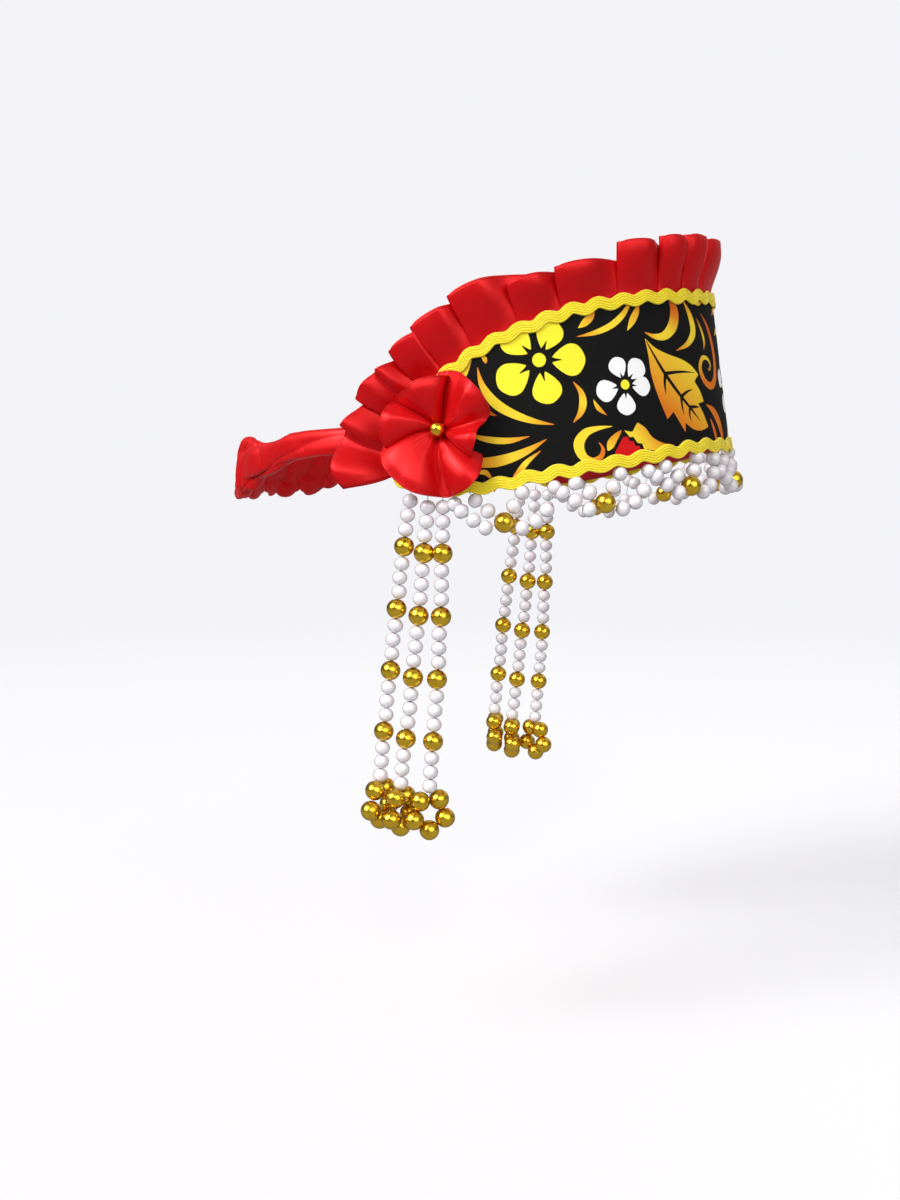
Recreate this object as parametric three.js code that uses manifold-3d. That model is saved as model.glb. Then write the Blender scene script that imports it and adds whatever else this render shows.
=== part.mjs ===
// A kokoshnik headdress: a stiff printed band that wraps the forehead from ear to ear, edged with
// rickrack braid, topped by a pleated satin ruffle, with a satin rosette over each end, a soft satin
// strap round the back, a net of beads under the front edge and three bead strands at each temple.
// Millimetres, +Z up. The front looks along -Y and the wearer's left is +X. The origin is the middle
// of the head opening at the height of the strap, where the head carries the band.
import * as THREE from "three";
import { mergeVertices } from "three/addons/utils/BufferGeometryUtils.js";
import Module from "manifold-3d";

const wasm = await Module();
wasm.setup();

// Head opening
const openingHalfWidth = 78;
const openingHalfDepth = 103.6;
const leanDegrees = 7.8; // the band leans inwards as it rises
const clearance = 0.3; // between pieces that are sewn to each other

// Printed band
const bandHalfLength = 161; // along the head, from the middle of the front to the rounded end
const bandHeight = 64.6; // at the front
const bandFoot = 5.2; // height of its lower edge at the front
const bandWall = 2.6;
const bandColumns = 40;
const bandTipShare = 0.9995; // how near the tips the end columns stand

// Rickrack braid
const braidWidth = 4.2;
const braidWave = 1.1; // half of the wave's height
const braidPitch = 11.3;
const braidThickness = 1.2;
const braidOverhang = 0.4; // how far its waves reach past the band's edge

// Pleated ruffle
const ruffleHeight = 21;
const ruffleReach = 196; // along the band's edge, from the middle of the top to each end
const pleatOverlap = 9;
const pleatStep = 5.5; // how much lower a pleat's tail stands than its fold
const pleatLean = 2.4; // how far a fold's free end leans towards the wearer's left
const ruffleWall = 1;
const ruffleSeat = 1; // clear of the band's edge
const ruffleFlare = 0.14; // outwards over upwards, on top
const ruffleEndFlare = 0.34; // the same round the ends
const ruffleEndStart = 0.55; // where the end flare begins, as a share of ruffleReach
const pleatLayerGap = 0.4; // between folded layers at the sewn edge
const pleatOpening = 0.9; // how much further apart the layers are at the free edge

// Rosettes
const rosetteWidth = 39;
const rosetteHeight = 47;
const rosetteAlong = 137.5; // place of its middle along the head
const rosetteUp = 13.5;
const rosetteDroop = 2.6; // how far its lobes hang below even
const rosetteWall = 1.2;
const rosetteRise = 6.6; // of the lobes over the gathered middle
const rosetteWave = 2.2;
const rosetteLobes = 5;
const rosetteLobeReach = 0.07; // how much further a lobe reaches than its neighbours, as a share
const rosetteLobeSteps = 4;
const rosetteBead = 6.2; // diameter

// Strap
const strapWidth = 12; // where it leaves the band
const strapPuff = 6; // thickness of the puffed casing behind the ears
const strapTab = 1.3; // thickness of the flat end sewn inside the band
const strapOverlap = 11; // length of the flat end inside the band
const strapUp = 9; // height of its middle where it leaves the band
const strapCorners = 8;
const strapRoundness = 0.7; // of a section: 1 is an ellipse, less is squarer

// Beads
const pearlDiameter = 6;
const pearlLength = 5.6;
const goldDiameter = 8;
const goldLength = 7.8;
const threadDiameter = 1.2;
const beadSides = 10;
const beadRows = 5;

// Strands at the temples
const strandGroups = 4; // three pearls and a gilt bead, repeated
const pearlsInGroup = 3;
const loopBeads = 5;
const loopDrop = 11.1; // from the last pearl's middle to the middle of the loop

// Bead net under the front edge
const netPitch = 37.6;
const netScallops = 7;
const netReach = 129.6; // along the head, from the middle of the front to its last bead
const netDrop = 11.9; // of the gilt beads below the band's edge
const netTube = 5.2; // diameter of the outer string of pearls
const netInnerTube = 4;
const netFlareDegrees = 15;
const netSides = 8;

// Edge of the band from the middle of the top to the middle of the bottom: along as a share of
// bandHalfLength and up as a share of bandHeight over bandFoot.
const bandEdge = [
  { along: 0, up: 1 },
  { along: 0.22, up: 0.989 },
  { along: 0.41, up: 0.938 },
  { along: 0.57, up: 0.848 },
  { along: 0.65, up: 0.78 },
  { along: 0.72, up: 0.709 },
  { along: 0.79, up: 0.615 },
  { along: 0.86, up: 0.486 },
  { along: 0.93, up: 0.322 },
  { along: 0.98, up: 0.149 },
  { along: 1, up: 0.009 },
  { along: 0.985, up: -0.122 },
  { along: 0.95, up: -0.211 },
  { along: 0.9, up: -0.249 },
  { along: 0.82, up: -0.266 },
  { along: 0.72, up: -0.24 },
  { along: 0.57, up: -0.161 },
  { along: 0.41, up: -0.1 },
  { along: 0.3, up: -0.053 },
  { along: 0.15, up: -0.005 },
  { along: 0, up: 0 },
];

// Pleats of the ruffle from the wearer's right end to the left one: width as a share of an even
// pleat and height as a share of ruffleHeight.
const pleats = [
  { width: 1.2, height: 0.8 },
  { width: 0.87, height: 0.82 },
  { width: 0.59, height: 0.84 },
  { width: 0.8, height: 0.9 },
  { width: 1.04, height: 0.98 },
  { width: 0.97, height: 0.74 },
  { width: 1.32, height: 0.75 },
  { width: 1.07, height: 0.95 },
  { width: 0.8, height: 0.98 },
  { width: 0.84, height: 0.99 },
  { width: 1, height: 0.98 },
  { width: 1.1, height: 0.97 },
  { width: 1.14, height: 0.94 },
  { width: 1, height: 0.8 },
  { width: 1.15, height: 0.84 },
  { width: 1.1, height: 0.92 },
  { width: 1.12, height: 0.9 },
  { width: 1, height: 0.84 },
  { width: 0.9, height: 0.82 },
  { width: 1.02, height: 0.8 },
];

// The flat end of the strap, from its start to where it leaves the band, and then the strap to the
// middle of the back (1): height as a share of strapWidth, middle as a share of strapUp, and the
// inner and outer faces as shares of strapPuff.
const strapFlat = [{ along: 0 }, { along: 0.045 }];
const strapSections = [
  { along: 0.08, height: 1.0, middle: 1.0, inner: -0.3, outer: -0.06 },
  { along: 0.16, height: 0.98, middle: 1.0, inner: -0.28, outer: 0.3 },
  { along: 0.25, height: 0.98, middle: 1.0, inner: -0.2, outer: 0.72 },
  { along: 0.34, height: 1.03, middle: 0.9, inner: 0.0, outer: 0.85 },
  { along: 0.43, height: 1.13, middle: 0.7, inner: 0.03, outer: 0.93 },
  { along: 0.51, height: 1.23, middle: 0.35, inner: 0.03, outer: 1.0 },
  { along: 0.58, height: 1.5, middle: 0.12, inner: 0.03, outer: 1.15 },
  { along: 0.65, height: 2.0, middle: -0.1, inner: 0.03, outer: 1.45 },
  { along: 0.72, height: 2.42, middle: -0.27, inner: 0.03, outer: 1.6 },
  { along: 0.79, height: 2.1, middle: -0.3, inner: 0.03, outer: 1.4 },
  { along: 0.86, height: 2.3, middle: -0.4, inner: 0.03, outer: 1.6 },
  { along: 0.93, height: 2.0, middle: -0.3, inner: 0.03, outer: 1.42 },
  { along: 1.0, height: 2.25, middle: -0.38, inner: 0.03, outer: 1.5 },
];

// Places of the strands on one side, from the back to the front: along the head, height of the first
// pearl, how far the string swings back by its last pearl, and the turn of its loop about the
// vertical.
const strandRoutes = [
  { along: 149.3, up: -13.9, back: 12.8, turnDegrees: 76, bow: 0.6 },
  { along: 142.2, up: -16.2, back: 11.2, turnDegrees: 74, bow: -0.8 },
  { along: 136, up: -16.2, back: 5.6, turnDegrees: 36, bow: -1.2 },
];

// Colours and finishes
const finishes = {
  print: { color: 0x141414, roughness: 0.8, metalness: 0 },
  braid: { color: 0xf0d020, roughness: 0.7, metalness: 0 },
  satin: { color: 0xc8101c, roughness: 0.35, metalness: 0 },
  pearl: { color: 0xf2f0f4, roughness: 0.2, metalness: 0 },
  gilt: { color: 0xc89a1e, roughness: 0.2, metalness: 0.9 },
};

// Angle round the opening at each distance along it, measured from the middle of the front.
const openingSteps = 2880;
const openingTable = [{ angle: 0, along: 0 }];
for (let i = 1; i <= openingSteps; i += 1) {
  const angle = (Math.PI * i) / openingSteps;
  const middle = angle - Math.PI / openingSteps / 2;
  const speed = Math.hypot(openingHalfWidth * Math.cos(middle), openingHalfDepth * Math.sin(middle));
  const last = openingTable[i - 1];
  openingTable.push({ angle, along: last.along + (speed * Math.PI) / openingSteps });
}
const halfGirth = openingTable[openingSteps].along;

function openingAngle(along) {
  const wanted = Math.min(Math.abs(along), halfGirth);
  let low = 0;
  let high = openingSteps;
  while (high - low > 1) {
    const middle = (low + high) >> 1;
    if (openingTable[middle].along <= wanted) low = middle;
    else high = middle;
  }
  const a = openingTable[low];
  const b = openingTable[high];
  const angle = a.angle + ((b.angle - a.angle) * (wanted - a.along)) / (b.along - a.along);
  return Math.sign(along) * angle;
}

// A point at a distance along the head from the middle of the front (positive towards the wearer's
// left), a height, and a distance out from the band's inner face.
const lean = Math.tan(THREE.MathUtils.degToRad(leanDegrees));
function onHead(along, up, out) {
  const angle = openingAngle(along);
  const normal = new THREE.Vector2(
    Math.sin(angle) / openingHalfWidth,
    -Math.cos(angle) / openingHalfDepth,
  ).normalize();
  const offset = out - up * lean;
  return new THREE.Vector3(
    openingHalfWidth * Math.sin(angle) + normal.x * offset,
    -openingHalfDepth * Math.cos(angle) + normal.y * offset,
    up,
  );
}

// The band's edge as a closed curve in the plane (along, up), once round from the middle of the top
// towards the wearer's left.
const halfEdge = bandEdge.map(
  (row) => new THREE.Vector3(row.along * bandHalfLength, bandFoot + row.up * bandHeight, 0),
);
const otherHalf = halfEdge.slice(1, -1).reverse();
const edgeSteps = 4000;
const edgeCurve = new THREE.CatmullRomCurve3(
  [...halfEdge, ...otherHalf.map((p) => new THREE.Vector3(-p.x, p.y, 0))],
  true,
  "centripetal",
);
edgeCurve.arcLengthDivisions = edgeSteps;
const edgeLength = edgeCurve.getLength();

// A point beside the edge: distance round it from the middle of the top, distance outside it in the
// band's own surface, and distance out from the head.
function besideEdge(round, outside, out) {
  const share = (((round / edgeLength) % 1) + 1) % 1;
  const point = edgeCurve.getPointAt(share);
  const tangent = edgeCurve.getTangentAt(share);
  return onHead(point.x - tangent.y * outside, point.y + tangent.x * outside, out);
}

// Lower and upper edge of the band at a place along the head.
const leftEdge = edgeCurve.getSpacedPoints(2 * edgeSteps).slice(0, edgeSteps + 1);
const tipAlong = Math.max(...leftEdge.map((p) => p.x));
const tipStep = leftEdge.findIndex((p) => p.x === tipAlong);
const upperEdge = leftEdge.slice(0, tipStep + 1);
const lowerEdge = leftEdge.slice(tipStep).reverse();
function edgesAt(along) {
  const heightOn = (points) => {
    const after = points.findIndex((p) => p.x >= Math.abs(along));
    if (after <= 0) return points[after < 0 ? points.length - 1 : 0].y;
    const a = points[after - 1];
    const b = points[after];
    return THREE.MathUtils.mapLinear(Math.abs(along), a.x, b.x, a.y, b.y);
  };
  return { lower: heightOn(lowerEdge), upper: heightOn(upperEdge) };
}

function solidMesh(name, geometry, finish) {
  const mesh = new THREE.Mesh(geometry, new THREE.MeshStandardMaterial(finish));
  mesh.name = name;
  return mesh;
}

// Joins rings of points into a closed body. A ring may have half as many points as its neighbour.
// Open rows are capped by a fan at both ends.
function loft(rings, closed = false) {
  const points = rings.flat();
  const starts = [];
  let count = 0;
  for (const ring of rings) {
    starts.push(count);
    count += ring.length;
  }
  const faces = [];
  const join = (a, b) => {
    const few = Math.min(rings[a].length, rings[b].length);
    for (let i = 0; i < few; i += 1) {
      const next = (i + 1) % few;
      if (rings[a].length === rings[b].length) {
        faces.push([starts[a] + i, starts[a] + next, starts[b] + next]);
        faces.push([starts[a] + i, starts[b] + next, starts[b] + i]);
      } else {
        const small = rings[a].length < rings[b].length ? a : b;
        const large = small === a ? b : a;
        const corner = [2 * i, 2 * i + 1, (2 * i + 2) % (2 * few)].map((k) => starts[large] + k);
        const fan = [
          [starts[small] + i, corner[1], corner[0]],
          [starts[small] + i, starts[small] + next, corner[1]],
          [starts[small] + next, corner[2], corner[1]],
        ];
        faces.push(...(small === a ? fan : fan.map((f) => [f[0], f[2], f[1]])));
      }
    }
  };
  for (let k = 0; k + 1 < rings.length; k += 1) join(k, k + 1);
  if (closed) {
    join(rings.length - 1, 0);
  } else {
    const last = rings.length - 1;
    for (let i = 1; i + 1 < rings[0].length; i += 1) faces.push([0, i + 1, i]);
    for (let i = 1; i + 1 < rings[last].length; i += 1) {
      faces.push([starts[last], starts[last] + i, starts[last] + i + 1]);
    }
  }
  return facingOut(points, faces);
}

// A geometry from points and faces, turned round where its faces point inwards.
function facingOut(points, faces) {
  let volume = 0;
  for (const [a, b, c] of faces) {
    volume += points[a].dot(new THREE.Vector3().crossVectors(points[b], points[c]));
  }
  const index = faces.flatMap(([a, b, c]) => (volume < 0 ? [a, c, b] : [a, b, c]));
  const geometry = new THREE.BufferGeometry();
  geometry.setAttribute(
    "position",
    new THREE.Float32BufferAttribute(points.flatMap((p) => [p.x, p.y, p.z]), 3),
  );
  geometry.setIndex(index);
  return geometry;
}

// Joins closed geometries into one body.
function joined(geometries) {
  const solids = geometries.map((geometry) => {
    const merged = mergeVertices(geometry, 1e-4);
    return new wasm.Manifold(
      new wasm.Mesh({
        numProp: 3,
        vertProperties: new Float32Array(merged.attributes.position.array),
        triVerts: new Uint32Array(merged.index.array),
      }),
    );
  });
  const mesh = solids.reduce((a, b) => a.add(b)).getMesh();
  const geometry = new THREE.BufferGeometry();
  geometry.setAttribute("position", new THREE.BufferAttribute(mesh.vertProperties, 3));
  geometry.setIndex(new THREE.BufferAttribute(mesh.triVerts, 1));
  return geometry;
}

// Printed band: a bent wall between its lower and upper edge.
function band() {
  const rings = [];
  for (let i = -bandColumns / 2; i <= bandColumns / 2; i += 1) {
    const along = tipAlong * bandTipShare * Math.sin((Math.PI * i) / bandColumns);
    const { lower, upper } = edgesAt(along);
    rings.push([
      onHead(along, lower, 0),
      onHead(along, lower, bandWall),
      onHead(along, upper, bandWall),
      onHead(along, upper, 0),
    ]);
  }
  return solidMesh("band", loft(rings), finishes.print);
}

// Rickrack braid: a flat ribbon that zigzags once round the whole edge of the band.
function braid() {
  const waves = Math.round(edgeLength / braidPitch);
  const middle = braidOverhang - braidWave - braidWidth / 2;
  const under = bandWall + clearance;
  const rings = [];
  for (let i = 0; i < 2 * waves; i += 1) {
    const round = (edgeLength * i) / (2 * waves);
    const centre = middle + (i % 2 ? -braidWave : braidWave);
    const inner = centre - braidWidth / 2;
    const outer = centre + braidWidth / 2;
    rings.push([
      besideEdge(round, inner, under),
      besideEdge(round, inner, under + braidThickness),
      besideEdge(round, outer, under + braidThickness),
      besideEdge(round, outer, under),
    ]);
  }
  return solidMesh("braid", loft(rings, true), finishes.braid);
}

// One knife pleat, as the path of its ribbon from its fold: so many pleat widths and overlaps along
// the edge, layer from 0 (against the head) to 2 (the face), and drop as a share of pleatStep.
const pleatPath = [
  { widths: 0, overlaps: 0, layer: 2, drop: 0 },
  { widths: 0, overlaps: 1, layer: 2, drop: 0.3 },
  { widths: 0.5, overlaps: 0.5, layer: 1, drop: 0.5 },
  { widths: 1, overlaps: 0, layer: 0, drop: 0.75 },
  { widths: 1, overlaps: 1, layer: 0, drop: 1 },
  { widths: 1, overlaps: 1, layer: 1, drop: 1 },
  { widths: 1, overlaps: 0, layer: 1, drop: 0 },
];
const tailRow = 4; // where the last pleat ends
const sharpestMitre = 0.5;

// Ruffle: a satin ribbon in knife pleats, sewn behind the edge of the band over the top and round
// both ends. Each fold points towards the wearer's right.
function ruffle() {
  const shares = pleats.reduce((sum, pleat) => sum + pleat.width, 0);
  const evenPleat = (2 * ruffleReach - pleatOverlap) / shares;
  const layerStep = ruffleWall + pleatLayerGap;
  const path = [];
  let fold = -ruffleReach;
  pleats.forEach((pleat, k) => {
    const width = pleat.width * evenPleat;
    const rows = k + 1 < pleats.length ? pleatPath : pleatPath.slice(0, tailRow + 1);
    for (const row of rows) {
      path.push({
        round: fold + row.widths * width + row.overlaps * pleatOverlap,
        layer: row.layer,
        height: pleat.height * ruffleHeight - row.drop * pleatStep,
      });
    }
    fold += width;
  });
  const ends = ruffleReach * ruffleEndStart;
  const rings = path.map((row, i) => {
    const before = path[Math.max(i - 1, 0)];
    const after = path[Math.min(i + 1, path.length - 1)];
    const low = ruffleWall / 2;
    const ring = [];
    for (const [share, side] of [
      [0, -1],
      [0, 1],
      [1, 1],
      [1, -1],
    ]) {
      const step = layerStep + share * pleatOpening;
      const from = new THREE.Vector2(before.round, before.layer * step);
      const here = new THREE.Vector2(row.round, row.layer * step);
      const to = new THREE.Vector2(after.round, after.layer * step);
      const corner = mitred(from, here, to, (side * ruffleWall) / 2);
      const endShare = THREE.MathUtils.smoothstep(Math.abs(corner.x), ends, ruffleReach);
      const flare = THREE.MathUtils.lerp(ruffleFlare, ruffleEndFlare, endShare);
      const outside = ruffleSeat + share * (row.height - ruffleSeat);
      const round = corner.x + share * pleatLean;
      ring.push(besideEdge(round, outside, low + corner.y + outside * flare));
    }
    return ring;
  });
  return solidMesh("ruffle", loft(rings), finishes.satin);
}

// The corner of an offset path: the point on the mitre at here, at a distance from both legs.
function mitred(from, here, to, distance) {
  const first = here.clone().sub(from);
  const second = to.clone().sub(here);
  if (first.length() < 1e-6) first.copy(second);
  if (second.length() < 1e-6) second.copy(first);
  first.normalize();
  second.normalize();
  const normal = new THREE.Vector2(-first.y - second.y, first.x + second.x).normalize();
  const stretch = 1 / Math.max(normal.dot(new THREE.Vector2(-first.y, first.x)), sharpestMitre);
  return here.clone().addScaledVector(normal, distance * stretch);
}

// Rosette: a ribbon gathered into a flower of soft lobes, sewn over an end of the band.
const rosetteRings = [
  { reach: 0.16, rise: 0, wave: 0 },
  { reach: 0.55, rise: 0.72, wave: 0.5 },
  { reach: 1, rise: 0.6, wave: 1 },
];
function rosette(name, side) {
  const sectors = rosetteLobes * rosetteLobeSteps;
  const points = [];
  const place = (angle, row, out) => {
    const lobe = Math.cos(rosetteLobes * angle);
    const reach = row.reach * (1 + rosetteLobeReach * lobe * row.reach);
    return onHead(
      side * (rosetteAlong + (Math.sin(angle) * reach * rosetteWidth) / 2),
      rosetteUp - rosetteDroop * row.reach + (Math.cos(angle) * reach * rosetteHeight) / 2,
      bandWall + clearance + row.rise * rosetteRise + lobe * row.wave * rosetteWave + out,
    );
  };
  for (const out of [0, rosetteWall]) {
    points.push(onHead(side * rosetteAlong, rosetteUp, bandWall + clearance + out));
    for (const row of rosetteRings) {
      for (let i = 0; i < sectors; i += 1) points.push(place((2 * Math.PI * i) / sectors, row, out));
    }
  }
  const sheet = 1 + rosetteRings.length * sectors;
  const faces = [];
  for (let i = 0; i < sectors; i += 1) {
    const next = (i + 1) % sectors;
    const at = (layer, ring, k) => layer * sheet + 1 + ring * sectors + k;
    for (const layer of [0, 1]) {
      const turn = (face) => faces.push(layer ? face : [face[0], face[2], face[1]]);
      turn([layer * sheet, at(layer, 0, i), at(layer, 0, next)]);
      for (let r = 0; r + 1 < rosetteRings.length; r += 1) {
        turn([at(layer, r, i), at(layer, r + 1, i), at(layer, r + 1, next)]);
        turn([at(layer, r, i), at(layer, r + 1, next), at(layer, r, next)]);
      }
    }
    const rim = rosetteRings.length - 1;
    faces.push([at(1, rim, i), at(0, rim, i), at(0, rim, next)]);
    faces.push([at(1, rim, i), at(0, rim, next), at(1, rim, next)]);
  }
  return solidMesh(name, facingOut(points, faces), finishes.satin);
}

// Gilt bead in the middle of a rosette.
function rosetteCentre(name, side) {
  const out = bandWall + 2 * clearance + rosetteWall + rosetteBead / 2;
  const centre = onHead(side * rosetteAlong, rosetteUp, out);
  const geometry = new THREE.SphereGeometry(rosetteBead / 2, beadSides, beadRows);
  geometry.deleteAttribute("normal");
  geometry.deleteAttribute("uv");
  const mesh = solidMesh(name, mergeVertices(geometry, 1e-4), finishes.gilt);
  mesh.position.copy(centre);
  return mesh;
}

// Strap: a soft satin casing over elastic, flat where it is sewn inside the band and puffed and
// ruched round the back of the head.
function strap() {
  const start = bandHalfLength - strapOverlap;
  const flat = -clearance - strapTab / 2;
  const half = strapFlat.map((row) => ({
    along: start + row.along * (halfGirth - start),
    up: strapUp,
    height: strapWidth,
    middle: flat - clearance,
    thickness: strapTab,
  }));
  for (const row of strapSections) {
    half.push({
      along: start + row.along * (halfGirth - start),
      up: row.middle * strapUp,
      height: row.height * strapWidth,
      middle: ((row.inner + row.outer) / 2) * strapPuff,
      thickness: (row.outer - row.inner) * strapPuff,
    });
  }
  const sections = [
    ...half,
    ...half
      .slice(0, -1)
      .reverse()
      .map((row) => ({ ...row, along: 2 * halfGirth - row.along })),
  ];
  const rings = sections.map((row) => {
    const ring = [];
    for (let i = 0; i < strapCorners; i += 1) {
      const angle = (2 * Math.PI * (i + 0.5)) / strapCorners;
      const square = (value) => Math.sign(value) * Math.abs(value) ** strapRoundness;
      const along = row.along > halfGirth ? row.along - 2 * halfGirth : row.along;
      ring.push(
        onHead(
          along,
          row.up + (square(Math.sin(angle)) * row.height) / 2,
          row.middle + (square(Math.cos(angle)) * row.thickness) / 2,
        ),
      );
    }
    return ring;
  });
  return solidMesh("strap", loft(rings), finishes.satin);
}

// A ring of points about an axis.
function ringAbout(centre, axis, side, radius, count) {
  const u = side.clone().addScaledVector(axis, -side.dot(axis)).normalize();
  const v = new THREE.Vector3().crossVectors(axis, u);
  const ring = [];
  for (let i = 0; i < count; i += 1) {
    const angle = (2 * Math.PI * i) / count;
    const p = centre.clone();
    p.addScaledVector(u, Math.cos(angle) * radius);
    p.addScaledVector(v, Math.sin(angle) * radius);
    ring.push(p);
  }
  return ring;
}

const pearl = { radius: pearlDiameter / 2, half: pearlLength / 2 };
const gilt = { radius: goldDiameter / 2, half: goldLength / 2 };
const threadRadius = threadDiameter / 2;
const threadSides = beadSides / 2;

// The two wide rings of a bead: how far they lie from its middle as a share of half its length, and
// how wide they are as a share of its radius.
const shoulder = { along: 0.42, out: 0.97 };
function beadRings(bead, centre, axis, side) {
  const shift = bead.half * shoulder.along;
  const radius = bead.radius * shoulder.out;
  return [-shift, shift].map((s) =>
    ringAbout(centre.clone().addScaledVector(axis, s), axis, side, radius, beadSides),
  );
}

// Strand: pearls and gilt beads on a thread that hangs from the band's lower edge, ending in a ring
// of gilt beads.
function strand(name, side, route) {
  const beads = [];
  for (let g = 0; g <= strandGroups; g += 1) {
    for (let p = 0; p < pearlsInGroup; p += 1) beads.push(pearl);
    if (g < strandGroups) beads.push(gilt);
  }
  const threadTop = edgesAt(route.along).lower - clearance;
  const top = onHead(side * route.along, route.up, bandWall / 2);
  const drops = [0];
  for (let i = 1; i < beads.length; i += 1) {
    drops.push(drops[i - 1] + beads[i - 1].half + beads[i].half);
  }
  const length = drops[drops.length - 1];
  const down = new THREE.Vector3(0, route.back, -Math.sqrt(length ** 2 - route.back ** 2));
  down.normalize();
  const acrossWay = new THREE.Vector3(side, 0, 0);
  const at = (drop) => {
    const share = drop / length;
    const p = top.clone().addScaledVector(down, drop);
    p.y += route.bow * 4 * share * (1 - share);
    return p;
  };
  const rings = [];
  const knot = new THREE.Vector3(top.x, top.y, threadTop);
  rings.push(ringAbout(knot, down, acrossWay, threadRadius, threadSides));
  beads.forEach((bead, i) => {
    const neck = at(drops[i] - bead.half);
    rings.push(ringAbout(neck, down, acrossWay, threadRadius, threadSides));
    rings.push(...beadRings(bead, at(drops[i]), down, acrossWay));
  });
  const end = at(length + pearl.half);
  rings.push(ringAbout(end, down, acrossWay, threadRadius, threadSides));

  const loopRadius = goldLength / 2 / Math.sin(Math.PI / loopBeads);
  const inradius = loopRadius * Math.cos(Math.PI / loopBeads);
  const centre = at(length);
  centre.z -= loopDrop;
  const tie = centre.clone();
  tie.z += inradius - threadRadius / 2;
  const straight = new THREE.Vector3(0, 0, -1);
  rings.push(ringAbout(tie, straight, acrossWay, threadRadius, threadSides));
  const turn = THREE.MathUtils.degToRad(route.turnDegrees);
  const level = new THREE.Vector3(side * Math.sin(turn), Math.cos(turn), 0);
  const normal = new THREE.Vector3().crossVectors(level, new THREE.Vector3(0, 0, 1));
  const loopRings = [];
  for (let i = 0; i < loopBeads; i += 1) {
    const step = (2 * Math.PI) / loopBeads;
    const spot = (angle, radius) =>
      centre
        .clone()
        .addScaledVector(level, Math.sin(angle) * radius)
        .add(new THREE.Vector3(0, 0, Math.cos(angle) * radius));
    const tangent = (angle) =>
      level
        .clone()
        .multiplyScalar(Math.cos(angle))
        .add(new THREE.Vector3(0, 0, -Math.sin(angle)));
    const neckAngle = i * step;
    const beadAngle = neckAngle + step / 2;
    const neckAxis = tangent(neckAngle);
    loopRings.push(ringAbout(spot(neckAngle, inradius), neckAxis, normal, threadRadius, threadSides));
    loopRings.push(...beadRings(gilt, spot(beadAngle, loopRadius), tangent(beadAngle), normal));
  }
  const solid = joined([loft(rings), loft(loopRings, true)]);
  return solidMesh(name, solid, finishes.pearl);
}

// Bead net: one string in scallops with a gilt bead at the foot of each, and a shorter string that
// rises to the band's edge on both sides of each gilt bead.
// Along as a share of netPitch from the gilt bead, down as a share of netDrop.
const outerScallop = [
  { along: -0.5, down: 0.25 },
  { along: -0.21, down: 1.1 },
  { along: 0.21, down: 1.1 },
];
const innerRise = [
  { along: -0.35, down: 0.2 },
  { along: 0, down: 0.95 },
  { along: 0.2, down: 0.2 },
];
function beadNet() {
  const flare = Math.tan(THREE.MathUtils.degToRad(netFlareDegrees));
  const hang = (along, drop) => {
    const up = edgesAt(along).lower - drop;
    return onHead(along, up, bandWall / 2 - drop * lean + drop * flare);
  };
  const tube = (places, diameter) => {
    const centres = places.map((p) => {
      const along = THREE.MathUtils.clamp(p.along, -netReach, netReach);
      return hang(along, Math.max(p.down * netDrop, diameter / 2 + clearance));
    });
    const rings = centres.map((centre, i) => {
      const before = centres[Math.max(i - 1, 0)];
      const after = centres[Math.min(i + 1, centres.length - 1)];
      const axis = after.clone().sub(before).normalize();
      return ringAbout(centre, axis, new THREE.Vector3(0, 0, 1), diameter / 2, netSides);
    });
    return loft(rings);
  };
  const middles = [];
  for (let k = 0; k < netScallops; k += 1) middles.push((k - (netScallops - 1) / 2) * netPitch);
  const outer = middles.flatMap((middle) =>
    outerScallop.map((row) => ({ along: middle + row.along * netPitch, down: row.down })),
  );
  const lastMiddle = middles[middles.length - 1];
  outer.push({ along: lastMiddle + netPitch / 2, down: outerScallop[0].down });
  const pieces = [tube(outer, netTube)];
  for (const middle of middles) {
    const places = innerRise.map((row) => ({
      along: middle + row.along * netPitch,
      down: row.down,
    }));
    pieces.push(tube(places, netInnerTube));
  }
  return solidMesh("bead_net", joined(pieces), finishes.pearl);
}

const headdress = new THREE.Group();
headdress.add(band(), braid(), ruffle(), strap(), beadNet());
for (const [word, side] of [
  ["right", -1],
  ["left", 1],
]) {
  headdress.add(rosette("rosette_" + word, side));
  headdress.add(rosetteCentre("rosette_bead_" + word, side));
  strandRoutes.forEach((route, i) => {
    headdress.add(strand("strand_" + word + "_" + (i + 1), side, route));
  });
}

export default headdress;
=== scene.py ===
# The looks of a kokoshnik headdress: printed band, rickrack braid, pleated satin ruffle, rosettes,
# satin strap, bead net and bead strands. Tables are in millimetres unless they say shares.
import math
import bpy
import numpy as np
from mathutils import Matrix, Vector
from mathutils.geometry import delaunay_2d_cdt


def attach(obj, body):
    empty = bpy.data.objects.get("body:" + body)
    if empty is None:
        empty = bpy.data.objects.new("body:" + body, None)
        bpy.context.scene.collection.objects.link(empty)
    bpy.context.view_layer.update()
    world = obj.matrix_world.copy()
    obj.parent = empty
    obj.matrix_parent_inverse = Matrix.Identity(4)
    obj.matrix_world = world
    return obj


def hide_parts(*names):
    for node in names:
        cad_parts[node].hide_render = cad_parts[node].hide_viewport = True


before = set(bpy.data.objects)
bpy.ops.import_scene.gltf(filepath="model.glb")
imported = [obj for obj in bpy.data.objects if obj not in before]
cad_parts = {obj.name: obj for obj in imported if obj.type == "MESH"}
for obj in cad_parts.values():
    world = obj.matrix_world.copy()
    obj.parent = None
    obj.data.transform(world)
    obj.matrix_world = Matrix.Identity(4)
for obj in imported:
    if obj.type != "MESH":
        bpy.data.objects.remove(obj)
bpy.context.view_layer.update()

MM = 0.001
rng = np.random.default_rng(11)

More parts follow.
